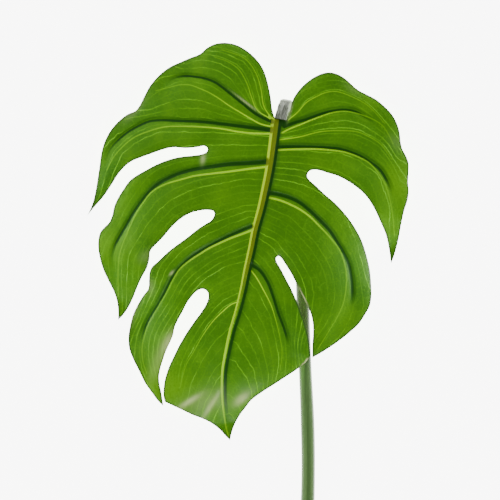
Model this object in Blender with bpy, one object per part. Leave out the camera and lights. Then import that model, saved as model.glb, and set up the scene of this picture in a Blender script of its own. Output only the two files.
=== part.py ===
"""A cut monstera leaf that lies face up on a table, its stalk bent over and lying beneath the blade.

Metres, +Z up. The table is z = 0, the tip of the leaf and the cut end of its stalk point to -Y, and
the origin lies under the middle of the whole leaf. The blade is one solid, arched over the stalk, and
its pointed lobes come down to the table.
"""

import math

import bpy
import numpy as np
from mathutils import Vector
from mathutils.geometry import delaunay_2d_cdt

MM = 0.001

# Driving dimensions
BLADE_LENGTH = 300 * MM
TOTAL_LENGTH = 450 * MM
BLADE_THICKNESS = 0.8 * MM
STEM_DIAMETER_AT_KNEE = 9.0 * MM
STEM_DIAMETER_AT_CUT = 12.0 * MM
KNEE_DIAMETER = 9.0 * MM
KNEE_BEND_RADIUS = 9.0 * MM
KNEE_AXIS_HEIGHT = 26.5 * MM

# The plan of the leaf is drawn on the picture's grid, x to the right and y down. These two rows of
# the grid are the top of the blade and its tip, and give the grid its real size.
PLAN_TOP = 42.8
PLAN_TIP = 440.5
GRID = BLADE_LENGTH / (PLAN_TIP - PLAN_TOP)
PLAN_CUT_END = PLAN_TOP + TOTAL_LENGTH / GRID
PLAN_BASE = (276.0, 118.0)

# The outline, run by run from corner to corner, against the clock from the notch at the stalk
LEFT_BASAL_LOBE = [
    (274.5, 119.3), (272.3, 110), (270.6, 97), (267, 80), (262.5, 68), (255, 58), (245, 49.5),
    (235, 44.5), (225, 42.8), (215, 44), (207, 48), (200, 54), (190, 58), (180, 62.3), (170, 67),
    (160, 74.5), (150, 86), (144, 97), (140, 105), (135.5, 110.8), (128, 114), (120, 120),
    (112, 128.5), (106, 138.5), (102, 150), (98.5, 172), (94.8, 194), (92, 204.5), (87.5, 215),
]
UPPER_LEFT_SLIT = [
    (87.5, 215), (95, 206), (103, 197), (111, 185.5), (118, 174.5), (125, 166.5), (132, 161.3),
    (142, 157.2), (153, 153.2), (163, 149.7), (173, 147.5), (186, 148.3), (198, 147.2),
    (204.5, 146.2), (207.8, 149), (206.5, 152.3), (202, 154.3), (193, 155.7), (182, 156.8),
    (170, 159.5), (158, 164), (146, 170.3), (136, 176), (129.5, 181), (124, 188.5), (118, 198),
    (114, 207), (112, 216), (109, 222.5), (104, 227.5), (100.3, 232), (98.3, 239), (98, 247),
    (99.5, 257), (103, 269), (108.5, 281), (113.5, 291), (116.8, 301), (118, 311), (118, 320),
]
MIDDLE_LEFT_SLIT = [
    (118, 320), (123, 315), (128.5, 307), (133, 298), (137, 288), (142, 277), (147, 268),
    (149.5, 259), (150.5, 251), (155, 245.5), (162.5, 238), (171, 228), (180, 219.5), (190, 213.5),
    (200, 210.7), (208, 210.1), (213.5, 211.3), (214.5, 214.5), (211.5, 220.3), (206, 223.8),
    (198, 229), (188, 237), (177, 245), (168, 252), (158, 261.5), (152, 267), (149.6, 273),
    (149, 281), (148.4, 288.5), (143, 296), (137, 306), (132.5, 316), (130, 326), (128.3, 337),
    (129, 348), (133, 359), (138.5, 370), (145, 383), (152, 393), (158, 401), (163.3, 406),
]
LOWER_LEFT_SLIT = [
    (163.3, 406), (162.3, 399), (161.2, 392), (159.8, 386), (159, 377), (160.3, 369), (163, 360),
    (166.5, 350), (170.5, 341.5), (173.3, 334.5), (174.7, 327.5), (178, 320), (183, 311),
    (187, 303), (192, 296), (197, 291), (202.5, 288.8), (207, 291), (208.6, 296), (206.5, 303.5),
    (201, 312.5), (194, 322), (186.5, 333), (180, 344), (174, 356), (168.5, 368), (164.8, 380),
    (163.4, 391), (163.6, 397), (164.9, 402),
]
END_LOBE_LEFT = [
    (164.9, 402), (172, 405.3), (182, 410), (193, 415.2), (203, 419), (212, 423.7), (220, 430),
    (226, 436.5), (230, 440.5),
]
END_LOBE_RIGHT = [
    (230, 440.5), (232, 432), (235, 424), (240, 415), (246, 407), (251, 400.5), (260, 393.5),
    (280, 380.5), (300, 367), (306, 361.5), (310.3, 356),
]
LOWER_RIGHT_SLIT = [
    (310.3, 356), (309.8, 349), (308.1, 337), (305, 325), (301.5, 314.5), (297, 302),
    (291.5, 289.5), (286, 279), (280.5, 268.5), (276.3, 261), (276, 257.8), (278.6, 256),
    (281, 257.8), (285.5, 264.5), (291, 273.2), (296.5, 284), (301.5, 293.5), (306.5, 304),
    (310.5, 313), (312.7, 323), (313, 333), (312.3, 345), (312.3, 357.6),
]
UPPER_RIGHT_SLIT = [
    (312.3, 357.6), (320, 353.3), (330, 347), (340, 340), (350, 332), (359, 323.5), (365, 314.5),
    (369.5, 306.5), (371.4, 297), (371.3, 284), (370, 270), (366.8, 256), (361.8, 241), (355, 228),
    (346, 215.3), (335, 203.3), (325, 194.7), (315, 185.3), (308.3, 179), (307, 175.8),
    (308.8, 171.7), (313, 170), (319, 170.5), (328, 173.3), (337, 176), (347, 181), (356, 187),
    (365, 195), (373, 206.5), (380, 221), (386, 235), (389, 248), (391.3, 263.5),
]
RIGHT_BASAL_LOBE = [
    (391.3, 263.5), (395, 253.5), (398.5, 240), (401, 226), (404, 211.5), (407.5, 200),
    (408.7, 192), (408, 182), (408.5, 172), (408.5, 163), (406, 156), (402.3, 149), (400.6, 141.5),
    (399.8, 134), (397.5, 125), (392.5, 115.3), (385, 107), (376, 99.5), (367, 94.7), (358, 90),
    (351, 84), (345, 78.7), (338, 74.5), (330, 72.5), (322, 73.7), (313, 78), (305, 84),
    (298, 91.5), (294, 99), (292.6, 106), (291, 114), (288, 121),
]
NOTCH = [(288, 121), (281, 119.9), (274.5, 119.3)]
OUTLINE_RUNS = [
    LEFT_BASAL_LOBE, UPPER_LEFT_SLIT, MIDDLE_LEFT_SLIT, LOWER_LEFT_SLIT, END_LOBE_LEFT,
    END_LOBE_RIGHT, LOWER_RIGHT_SLIT, UPPER_RIGHT_SLIT, RIGHT_BASAL_LOBE, NOTCH,
]
# The lobe tips that come down to the table, all round the weight of the leaf
RESTING_TIPS = [(87.5, 215), (118, 320), (230, 440.5), (391.3, 263.5)]

# The veins: the midrib down the middle, and the pressed crease of each side vein
MIDRIB = [
    (277, 121), (274.5, 130), (271.5, 150), (268.5, 170), (264.5, 190), (260, 210), (254.5, 230),
    (250.5, 250), (246, 270), (242, 290), (237, 310), (231, 330), (226.5, 350), (223, 370),
    (222.3, 390), (223.7, 410), (227, 430), (229.3, 437.5),
]
SIDE_VEINS = {
    "left_basal": [
        (272, 121.5), (265, 118.5), (255, 113), (245, 105), (235, 97), (225, 89), (215, 82),
        (205, 78.3), (195, 76.5), (185, 75.8), (175, 77.5), (167, 81.5),
    ],
    "left_upper": [
        (271, 129.8), (260, 128.5), (240, 126), (220, 123.5), (200, 121.5), (180, 120.7),
        (162, 120), (150, 121), (138, 126), (127, 132.5), (118, 140), (110, 149), (104, 163),
    ],
    "left_middle": [
        (266, 161.5), (250, 162.8), (230, 164), (210, 166.7), (195, 169), (180, 173),
        (165, 179.5), (155, 186), (147, 194), (140, 203), (133, 213), (126, 225), (119, 237),
        (114, 247), (111.5, 259), (112.5, 275),
    ],
    "left_lower": [
        (251, 226), (238, 231.5), (228, 236), (216, 242), (205, 248), (195, 254), (185, 262),
        (176, 271.5), (170, 281), (164, 293), (158, 304), (151, 315), (145, 327), (141.5, 340),
        (142, 355), (146, 371),
    ],
    "left_end": [
        (238.5, 301.5), (231, 304.5), (222, 312), (214, 320), (207, 329), (200, 340), (193, 353),
        (187, 363), (183, 375), (180, 388),
    ],
    "right_basal": [
        (284, 126.5), (296, 122), (305, 119.5), (315, 115.8), (325, 112.5), (335, 110.5),
        (345, 109.7), (355, 111.5), (365, 116.5), (375, 123),
    ],
    "right_upper": [
        (276, 147), (290, 146.5), (310, 146.8), (330, 147.7), (340, 148.8), (350, 151.8),
        (360, 155.8), (370, 162), (379, 168.5), (385, 177), (390, 188), (393.5, 205), (394.5, 222),
    ],
    "right_lower": [
        (269, 192.5), (280, 194.5), (290, 197.5), (300, 202.5), (310, 210.5), (320, 220.2),
        (330, 230.8), (338, 243), (344, 253), (349, 264), (351.3, 275), (352.5, 286),
        (352, 300), (347, 315), (337, 330),
    ],
    "right_end": [
        (251, 264), (260, 270), (268, 282), (273, 295), (279, 314), (284, 327), (288, 341),
        (290, 356),
    ],
}

# The arch of the blade. It is highest over the middle of the midrib.
CROWN_HEIGHT = 33 * MM
CROWN_PLACE = (262.0, 205.0)
ARCH_ACROSS = 1.43
ARCH_TOWARDS_TIP = 0.82
ARCH_TOWARDS_NOTCH = 1.2
TIP_DROOP_REACH = 32 * MM
TIP_PRESS = 3.0 * MM
QUILT_HEIGHT = 1.8 * MM
QUILT_REACH = 8.0 * MM
CREASE_DEPTH = 0.9 * MM
CREASE_WIDTH = 1.8 * MM
EDGE_CURL = 1.6 * MM
EDGE_CURL_REACH = 5.0 * MM
WAVE_HEIGHT = 1.4 * MM
WAVE_REACH = 14.0 * MM
WAVE_LENGTH = 75 * MM

# The midrib stands up on the face, with a groove on its right, and is a thick rib beneath
MIDRIB_RISE = 1.3 * MM
MIDRIB_HALF_WIDTH = 2.4 * MM
GROOVE_OFFSET = 4.3 * MM
GROOVE_DEPTH = 0.9 * MM
GROOVE_HALF_WIDTH = 1.2 * MM
MIDRIB_UNDER_DEPTH = 4.2 * MM
MIDRIB_UNDER_HALF_WIDTH = 3.4 * MM
SIDE_RIB_DEPTH = 1.3 * MM
SIDE_RIB_HALF_WIDTH = 1.8 * MM

# The mesh of the blade
EDGE_SPACING = 5.5 * MM
VEIN_SPACING = 5.2 * MM
FIELD_SPACING = 7.5 * MM
SHOULDER_OFFSET = 3.4 * MM
CLEAR_OF_EDGE = 2.0 * MM
CLEAR_OF_VEIN = 2.2 * MM

# The stalk: its course on the plan's grid, from under the notch to the cut end
STEM_COURSE = [
    (287.5, 121.1), (287.9, 128), (289, 136), (292.5, 154), (297, 200), (300, 250), (302.3, 290),
    (303.6, 330), (305.2, 369), (307.3, 416), (308.2, 455), (307.9, 493), (306, 540), (302, 590),
]
STEM_CUT_X = 297.0
STEM_LIFT_START = 255.0
STEM_SIDES = 12
STEM_CLEAR_OF_TABLE = 0.02 * MM
STEM_RING_SPACING = 12 * MM
KNEE_START = (287.5, 120.5)
KNEE_END = (281.3, 118.85)
KNEE_RINGS = 16
KNEE_FOLDS = 5
KNEE_FOLD_DEPTH = 0.03


def clear_scene():
    for thing in list(bpy.data.objects):
        bpy.data.objects.remove(thing, do_unlink=True)


def on_plan(point):
    """A point of the plan's grid in metres, measured from the foot of the midrib."""
    return np.array(((point[0] - PLAN_BASE[0]) * GRID, (PLAN_BASE[1] - point[1]) * GRID))


def smooth_line(points, spacing):
    """Even steps along a centripetal Catmull-Rom curve through the points, its ends included."""
    knots = np.array([on_plan(point) for point in points])
    before = 2 * knots[0] - knots[1]
    after = 2 * knots[-1] - knots[-2]
    knots = np.vstack([before, knots, after])
    dense = []
    for p0, p1, p2, p3 in zip(knots, knots[1:], knots[2:], knots[3:]):
        t1 = math.sqrt(np.linalg.norm(p1 - p0))
        t2 = t1 + math.sqrt(np.linalg.norm(p2 - p1))
        t3 = t2 + math.sqrt(np.linalg.norm(p3 - p2))
        for t in np.linspace(t1, t2, 24, endpoint=False):
            a1 = (t1 - t) / t1 * p0 + t / t1 * p1
            a2 = (t2 - t) / (t2 - t1) * p1 + (t - t1) / (t2 - t1) * p2
            a3 = (t3 - t) / (t3 - t2) * p2 + (t - t2) / (t3 - t2) * p3
            b1 = (t2 - t) / t2 * a1 + t / t2 * a2
            b2 = (t3 - t) / (t3 - t1) * a2 + (t - t1) / (t3 - t1) * a3
            dense.append((t2 - t) / (t2 - t1) * b1 + (t - t1) / (t2 - t1) * b2)
    dense = np.array(dense + [knots[-2]])
    run = np.concatenate([[0], np.cumsum(np.linalg.norm(np.diff(dense, axis=0), axis=1))])
    steps = np.linspace(0, run[-1], max(2, round(run[-1] / spacing) + 1))
    return np.column_stack([np.interp(steps, run, dense[:, axis]) for axis in (0, 1)])


def outline_points(spacing):
    """The closed outline: every run without its last point, which the next run starts with."""
    return np.vstack([smooth_line(run, spacing)[:-1] for run in OUTLINE_RUNS])


def beside(line, offset):
    """The line moved sideways, to its left where the offset is positive."""
    along = np.gradient(line, axis=0)
    along /= np.linalg.norm(along, axis=1)[:, None]
    return line + offset * np.column_stack([-along[:, 1], along[:, 0]])


def nearest_on(line, points, closed=False):
    """For each point: its distance to the line, the share of the line passed, and the side.

    The side is positive to the left of the line's own direction.
    """
    starts = line
    ends = np.roll(line, -1, axis=0)
    if not closed:
        starts, ends = line[:-1], line[1:]
    spans = ends - starts
    lengths = np.linalg.norm(spans, axis=1)
    passed = np.concatenate([[0], np.cumsum(lengths)[:-1]])
    best = np.full(len(points), np.inf)
    share = np.zeros(len(points))
    side = np.zeros(len(points))
    for start, span, length, before in zip(starts, spans, lengths, passed):
        offset = points - start
        along = np.clip(offset @ span / length**2, 0, 1)
        away = offset - along[:, None] * span
        distance = np.linalg.norm(away, axis=1)
        closer = distance < best
        best[closer] = distance[closer]
        share[closer] = (before + along[closer] * length) / lengths.sum()
        turn = span[0] * offset[:, 1] - span[1] * offset[:, 0]
        side[closer] = np.sign(turn[closer])
    return best, share, side


def inside(points, outline):
    """Which points lie within the closed outline, counted by crossings to the right."""
    within = np.zeros(len(points), dtype=bool)
    for (x1, y1), (x2, y2) in zip(outline, np.roll(outline, -1, axis=0)):
        if y1 == y2:
            continue
        spans = (y1 > points[:, 1]) != (y2 > points[:, 1])
        crossing = x1 + (points[:, 1] - y1) * (x2 - x1) / (y2 - y1)
        within ^= spans & (points[:, 0] < crossing)
    return within


def hill(distance, width):
    return np.exp(-((distance / width) ** 2))


def blade_surfaces(points, outline):
    """The heights of the blade's face and of its underside over each plan point."""
    crown = on_plan(CROWN_PLACE)
    across = points[:, 0] - crown[0]
    along = points[:, 1] - crown[1]
    arch_along = np.where(along > 0, ARCH_TOWARDS_NOTCH, ARCH_TOWARDS_TIP)

    def arch(x, y, bend):
        return CROWN_HEIGHT - ARCH_ACROSS * x**2 - bend * y**2

    face = arch(across, along, arch_along)
    for tip in RESTING_TIPS:
        place = on_plan(tip)
        height = arch(*(place - crown), ARCH_TOWARDS_TIP)
        distance = np.linalg.norm(points - place, axis=1)
        face -= (height + TIP_PRESS) * hill(distance, TIP_DROOP_REACH)

    to_edge, _, _ = nearest_on(outline, points, closed=True)
    to_rib, rib_share, rib_side = nearest_on(smooth_line(MIDRIB, 2 * MM), points)
    rib_taper = 1 - 0.8 * rib_share
    to_crease = to_rib.copy()
    side_rib = np.zeros(len(points))
    for course in SIDE_VEINS.values():
        distance, share, _ = nearest_on(smooth_line(course, 2 * MM), points)
        to_crease = np.minimum(to_crease, distance)
        taper = np.clip(1.2 - share, 0, 1)
        face -= CREASE_DEPTH * hill(distance, CREASE_WIDTH) * taper
        side_rib = np.maximum(side_rib, SIDE_RIB_DEPTH * hill(distance, SIDE_RIB_HALF_WIDTH) * taper)

    face += QUILT_HEIGHT * (1 - hill(to_crease, QUILT_REACH))
    face -= EDGE_CURL * np.exp(-to_edge / EDGE_CURL_REACH)
    turn = 2 * math.pi / WAVE_LENGTH
    wave = np.sin(turn * points[:, 0] + 0.6) * np.sin(turn * points[:, 1] + 1.9)
    face += WAVE_HEIGHT * wave * np.exp(-to_edge / WAVE_REACH)
    face += MIDRIB_RISE * hill(to_rib, MIDRIB_HALF_WIDTH) * rib_taper
    left_of_groove = to_rib * rib_side - GROOVE_OFFSET * rib_taper
    face -= GROOVE_DEPTH * hill(left_of_groove, GROOVE_HALF_WIDTH) * rib_taper

    depth = BLADE_THICKNESS + side_rib
    under = MIDRIB_UNDER_DEPTH * hill(to_rib, MIDRIB_UNDER_HALF_WIDTH) * (1.0001 - rib_share) ** 1.5
    depth = np.maximum(depth, BLADE_THICKNESS + under)
    underside = np.maximum(face - depth, 0)
    face = np.maximum(face, underside + BLADE_THICKNESS)
    return face, underside


def blade_field(outline):
    """The points within the outline: along the veins and their shoulders, then on an even field."""
    lines = []
    rib = smooth_line(MIDRIB, VEIN_SPACING)
    taper = np.linspace(1, 0.3, len(rib))[:, None]
    lines.append(rib)
    lines.append(rib + (beside(rib, GROOVE_OFFSET) - rib) * taper)
    lines.append(rib + (beside(rib, -SHOULDER_OFFSET) - rib) * taper)
    for course in SIDE_VEINS.values():
        crease = smooth_line(course, VEIN_SPACING)
        lines += [crease, beside(crease, SHOULDER_OFFSET), beside(crease, -SHOULDER_OFFSET)]

    kept = np.empty((0, 2))
    low, high = outline.min(axis=0), outline.max(axis=0)
    rows = np.arange(low[1], high[1], FIELD_SPACING * math.sqrt(0.75))
    columns = np.arange(low[0], high[0], FIELD_SPACING)
    field = [(x + FIELD_SPACING / 2 * (row % 2), y) for row, y in enumerate(rows) for x in columns]
    batches = [(line, CLEAR_OF_VEIN) for line in lines]
    batches.append((np.array(field), FIELD_SPACING * 0.62))
    for batch, clearance in batches:
        to_edge, _, _ = nearest_on(outline, batch, closed=True)
        batch = batch[inside(batch, outline) & (to_edge > CLEAR_OF_EDGE)]
        if len(kept):
            gaps = np.linalg.norm(batch[:, None] - kept[None], axis=2).min(axis=1)
            batch = batch[gaps > clearance]
        kept = np.vstack([kept, batch])
    return kept


def rim_edges(triangles):
    """The edges that only one triangle has, each running as its triangle does."""
    sides = {(t[i], t[(i + 1) % 3]) for t in triangles for i in range(3)}
    return sorted(side for side in sides if side[::-1] not in sides)


def build_blade(parent):
    outline = outline_points(EDGE_SPACING)
    plan = np.vstack([outline, blade_field(outline)])
    rim = len(outline)
    edges = [(i, (i + 1) % rim) for i in range(rim)]
    corners, _, triangles, *_ = delaunay_2d_cdt(
        [Vector(point) for point in plan], edges, [], 0, 1e-7, False
    )
    plan = np.array(corners)
    middles = plan[np.array(triangles)].mean(axis=1)
    triangles = [triangle for triangle, kept in zip(triangles, inside(middles, outline)) if kept]
    face, underside = blade_surfaces(plan, outline)
    count = len(plan)
    points = [(*plan[i], face[i]) for i in range(count)]
    points += [(*plan[i], underside[i]) for i in range(count)]
    faces = [tuple(triangle) for triangle in triangles]
    faces += [tuple(count + i for i in reversed(triangle)) for triangle in triangles]
    for a, b in rim_edges(triangles):
        faces.append((b, a, count + a))
        faces.append((b, count + a, count + b))
    mesh = bpy.data.meshes.new("leaf_blade")
    mesh.from_pydata(points, [], faces)
    return add_object("leaf_blade", mesh, parent, leaf_green())


def sweep(name, centres, radii, sides, parent, material):
    """A round bar along the centres, its rings square to its course and flat facets downwards."""
    centres = np.array(centres)
    along = np.gradient(centres, axis=0, edge_order=2)
    along /= np.linalg.norm(along, axis=1)[:, None]
    up = np.array((0.0, 0.0, 1.0))
    points = []
    for centre, direction, radius in zip(centres, along, radii):
        up = up - direction * (up @ direction)
        up /= np.linalg.norm(up)
        across = np.cross(direction, up)
        for k in range(sides):
            angle = 2 * math.pi * (k + 0.5) / sides
            ring = centre + radius * (math.cos(angle) * up + math.sin(angle) * across)
            points.append(tuple(ring))
    faces = []
    for ring in range(len(centres) - 1):
        for k in range(sides):
            a = ring * sides + k
            b = ring * sides + (k + 1) % sides
            faces.append((a, b, b + sides, a + sides))
    faces.append(tuple(reversed(range(sides))))
    last = (len(centres) - 1) * sides
    faces.append(tuple(range(last, last + sides)))
    mesh = bpy.data.meshes.new(name)
    mesh.from_pydata(points, [], faces)
    return add_object(name, mesh, parent, material)


def knee_course():
    """The axis of the knee: up from the stalk, over in a half circle and level into the midrib."""
    start = on_plan(KNEE_START)
    end = on_plan(KNEE_END)
    middle_height = KNEE_AXIS_HEIGHT - KNEE_BEND_RADIUS
    course = []
    for step in range(KNEE_RINGS + 1):
        share = step / KNEE_RINGS
        turn = math.pi * share
        x = start[0] + (end[0] - start[0]) * share**1.5
        y = start[1] + (end[1] - start[1]) * share + KNEE_BEND_RADIUS * math.sin(turn)
        course.append((x, y, middle_height - KNEE_BEND_RADIUS * math.cos(turn)))
    return course


def build_knee(parent):
    course = knee_course()
    radii = []
    for step in range(len(course)):
        share = step / KNEE_RINGS
        fold = 1 + KNEE_FOLD_DEPTH * math.sin(2 * math.pi * KNEE_FOLDS * share) * math.sin(math.pi * share)
        radii.append(KNEE_DIAMETER / 2 * fold)
    return sweep("leaf_knee", course, radii, STEM_SIDES, parent, knee_grey())


def build_stem(parent):
    """The stalk lies on the table along its length and lifts towards the knee."""
    plan_course = STEM_COURSE + [(STEM_CUT_X, PLAN_CUT_END)]
    line = smooth_line(plan_course, STEM_RING_SPACING)
    share = np.linspace(0, 1, len(line))
    radii = STEM_DIAMETER_AT_KNEE / 2 + (STEM_DIAMETER_AT_CUT - STEM_DIAMETER_AT_KNEE) / 2 * share
    knee_foot = knee_course()[0]
    lift_start = on_plan((0, STEM_LIFT_START))[1]
    climb = np.clip((line[:, 1] - lift_start) / (line[0, 1] - lift_start), 0, 1)
    lying = radii * math.cos(math.pi / STEM_SIDES) + STEM_CLEAR_OF_TABLE
    heights = lying + (knee_foot[2] - lying) * climb**2 * (3 - 2 * climb)
    centres = [(x, y, z) for (x, y), z in zip(line, heights)]
    return sweep("leaf_stem", centres, radii, STEM_SIDES, parent, stem_green())


def add_object(name, mesh, parent, material):
    mesh.validate()
    mesh.materials.append(material)
    thing = bpy.data.objects.new(name, mesh)
    bpy.context.scene.collection.objects.link(thing)
    thing.parent = parent
    mesh.shade_smooth()
    mesh.set_sharp_from_angle(angle=math.radians(35))
    return thing


def finish(name, colour, roughness):
    material = bpy.data.materials.new(name)
    material.use_nodes = True
    shader = material.node_tree.nodes["Principled BSDF"]
    shader.inputs["Base Color"].default_value = (*colour, 1)
    shader.inputs["Roughness"].default_value = roughness
    shader.inputs["Metallic"].default_value = 0
    return material


def leaf_green():
    return finish("leaf_green", (0.080, 0.235, 0.004), 0.42)


def stem_green():
    return finish("stem_green", (0.115, 0.190, 0.070), 0.5)


def knee_grey():
    return finish("knee_grey", (0.300, 0.300, 0.270), 0.75)


def centre_over_origin(root, things):
    """Moves the leaf so that it stands on z = 0 with the middle of its box over the origin."""
    low = np.min([corner for thing in things for corner in thing.bound_box], axis=0)
    high = np.max([corner for thing in things for corner in thing.bound_box], axis=0)
    root.location = (-(low[0] + high[0]) / 2, -(low[1] + high[1]) / 2, -low[2])


def main():
    clear_scene()
    root = bpy.data.objects.new("leaf", None)
    bpy.context.scene.collection.objects.link(root)
    pieces = [build_blade(root), build_knee(root), build_stem(root)]
    bpy.context.view_layer.update()
    centre_over_origin(root, pieces)


main()
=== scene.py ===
"""Looks of a cut monstera leaf that lies face up, its stalk bent over and lying beneath the blade.

The blade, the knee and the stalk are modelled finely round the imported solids, in metres, and are given
the finish of a satin leaf with pressed creases and bright printed veins.
"""

import logging
import math
from dataclasses import dataclass, field
from enum import Enum

import bpy
import numpy as np
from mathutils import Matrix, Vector
from mathutils.geometry import delaunay_2d_cdt


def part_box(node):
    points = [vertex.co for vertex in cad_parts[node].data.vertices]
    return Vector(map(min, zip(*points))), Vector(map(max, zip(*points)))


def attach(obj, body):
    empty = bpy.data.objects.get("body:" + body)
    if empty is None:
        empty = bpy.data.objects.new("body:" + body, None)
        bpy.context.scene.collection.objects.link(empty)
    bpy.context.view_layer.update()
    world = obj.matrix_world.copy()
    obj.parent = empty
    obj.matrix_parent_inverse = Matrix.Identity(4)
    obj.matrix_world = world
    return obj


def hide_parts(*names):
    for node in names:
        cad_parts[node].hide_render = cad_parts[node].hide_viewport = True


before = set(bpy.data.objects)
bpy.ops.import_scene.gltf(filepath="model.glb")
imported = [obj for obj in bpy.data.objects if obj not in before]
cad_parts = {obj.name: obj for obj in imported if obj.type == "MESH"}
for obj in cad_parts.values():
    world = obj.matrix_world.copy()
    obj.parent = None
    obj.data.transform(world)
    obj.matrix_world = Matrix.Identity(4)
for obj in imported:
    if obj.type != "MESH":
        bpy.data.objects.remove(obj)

MM = 0.001
LOG = logging.getLogger("monstera_leaf")

# Metres between the points of a line that is measured against, and those of a fan's coarser lines
LINE_STEP = 1.5 * MM
FAN_STEP = 2 * MM
CURVE_SUBSTEPS = 24
TURN = 2 * math.pi
SHARP_ANGLE = math.radians(50)
SMALLEST_GAP = 1e-9
SAME_POINT = 1e-8
# The colour sockets of a Mix node, which share their names with those of its other kinds
MIX_UNDER, MIX_OVER, MIX_RESULT = 6, 7, 2

Points = list[tuple[float, float]]
# Where a layer starts and where it is full, and then, if given, how much of it shows at each
Ramp = tuple[float, ...]


class Side(Enum):
    """The three kinds of surface of the blade, in the order of its material slots."""

    FACE = 0
    UNDERSIDE = 1
    EDGE = 2


@dataclass(frozen=True)
class Plan:
    """The grid that the leaf's plan is drawn on, x to the right and y down, and its real size.

    Rows `top` and `tip` of the grid are the ends of the blade, which is `length` metres long.
    """

    top: float = 42.8
    tip: float = 440.5
    length: float = 300 * MM
    west_tip: tuple[float, float] = (87.5, 215.0)
    end_tip: tuple[float, float] = (230.0, 440.5)

    @property
    def step(self) -> float:
        """Metres to a step of the grid."""
        return self.length / (self.tip - self.top)

    def place(self, points: Points) -> np.ndarray:
        """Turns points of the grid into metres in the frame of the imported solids.

        Args:
            points: Points of the grid.

        Returns:
            Their x and y in metres, one row each. Two corners of the blade's solid fix the place.
        """
        low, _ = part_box("leaf_blade")
        grid = np.asarray(points, dtype=float)
        x = low.x + (grid[..., 0] - self.west_tip[0]) * self.step
        y = low.y + (self.end_tip[1] - grid[..., 1]) * self.step
        return np.stack([x, y], axis=-1)


@dataclass(frozen=True)
class Reading:
    """How a set of points lies about a line: distance in metres, share of it passed, and side."""

    distance: np.ndarray
    share: np.ndarray
    side: np.ndarray

    @property
    def signed(self) -> np.ndarray:
        """The distance, positive to the left of the line's own direction."""
        return self.distance * self.side


PLAN = Plan()


def smooth_line(points: Points, spacing: float) -> np.ndarray:
    """Walks a centripetal Catmull-Rom curve in even steps.

    Args:
        points: Points of the grid that the curve passes through.
        spacing: Metres between the points returned.

    Returns:
        Points along the curve in metres, both its ends included.
    """
    knots = PLAN.place(points)
    knots = np.vstack([2 * knots[0] - knots[1], knots, 2 * knots[-1] - knots[-2]])
    dense = []
    for p0, p1, p2, p3 in zip(knots, knots[1:], knots[2:], knots[3:]):
        t1 = math.sqrt(np.linalg.norm(p1 - p0))
        t2 = t1 + math.sqrt(np.linalg.norm(p2 - p1))
        t3 = t2 + math.sqrt(np.linalg.norm(p3 - p2))
        for t in np.linspace(t1, t2, CURVE_SUBSTEPS, endpoint=False):
            a1 = (t1 - t) / t1 * p0 + t / t1 * p1
            a2 = (t2 - t) / (t2 - t1) * p1 + (t - t1) / (t2 - t1) * p2
            a3 = (t3 - t) / (t3 - t2) * p2 + (t - t2) / (t3 - t2) * p3
            b1 = (t2 - t) / t2 * a1 + t / t2 * a2
            b2 = (t3 - t) / (t3 - t1) * a2 + (t - t1) / (t3 - t1) * a3
            dense.append((t2 - t) / (t2 - t1) * b1 + (t - t1) / (t2 - t1) * b2)
    dense = np.array(dense + [knots[-2]])
    run = np.concatenate([[0], np.cumsum(np.linalg.norm(np.diff(dense, axis=0), axis=1))])
    steps = np.linspace(0, run[-1], max(2, round(run[-1] / spacing) + 1))
    return np.column_stack([np.interp(steps, run, dense[:, axis]) for axis in (0, 1)])


def read_line(line: np.ndarray, points: np.ndarray, closed: bool = False) -> Reading:
    """Measures points against a line.

    Args:
        line: Points along the line, in metres.
        points: The points to measure, one row each.
        closed: Whether the line's last point joins its first.

    Returns:
        The distance of each point to the line, the share of the line passed there, and the side.
    """
    starts, ends = (line, np.roll(line, -1, axis=0)) if closed else (line[:-1], line[1:])
    spans = ends - starts
    lengths = np.linalg.norm(spans, axis=1)
    passed = np.concatenate([[0], np.cumsum(lengths)[:-1]])
    best = np.full(len(points), np.inf)
    share = np.zeros(len(points))
    side = np.ones(len(points))
    for start, span, length, before in zip(starts, spans, lengths, passed):
        offset = points - start
        along = np.clip(offset @ span / length**2, 0, 1)
        away = offset - along[:, None] * span
        distance = np.einsum("ij,ij->i", away, away)
        closer = distance < best
        best[closer] = distance[closer]
        share[closer] = (before + along[closer] * length) / lengths.sum()
        turn = span[0] * offset[closer, 1] - span[1] * offset[closer, 0]
        side[closer] = np.where(turn < 0, -1.0, 1.0)
    return Reading(np.sqrt(best), share, side)


def within(points: np.ndarray, outline: np.ndarray) -> np.ndarray:
    """Tells which points lie inside a closed outline.

    Args:
        points: The points to test.
        outline: The corners of the outline in order.

    Returns:
        A truth value for each point.
    """
    inside = np.zeros(len(points), dtype=bool)
    for (x1, y1), (x2, y2) in zip(outline, np.roll(outline, -1, axis=0)):
        if y1 == y2:
            continue
        spans = (y1 > points[:, 1]) != (y2 > points[:, 1])
        crossing = x1 + (points[:, 1] - y1) * (x2 - x1) / (y2 - y1)
        inside ^= spans & (points[:, 0] < crossing)
    return inside


def hill(distance: np.ndarray, width: float) -> np.ndarray:
    """A smooth hill of height 1 that falls to about a third at `width`."""
    return np.exp(-((distance / width) ** 2))


def srgb(code: str) -> tuple[float, float, float, float]:
    """Turns an sRGB hex colour into the linear colour that a shader takes, by the standard's curve.

    Args:
        code: Six hex digits.

    Returns:
        Linear red, green, blue, and 1 for alpha.
    """
    levels = [int(code[i : i + 2], 16) / 255 for i in (0, 2, 4)]
    linear = [c / 12.92 if c <= 0.04045 else ((c + 0.055) / 1.055) ** 2.4 for c in levels]
    return (*linear, 1.0)


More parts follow.
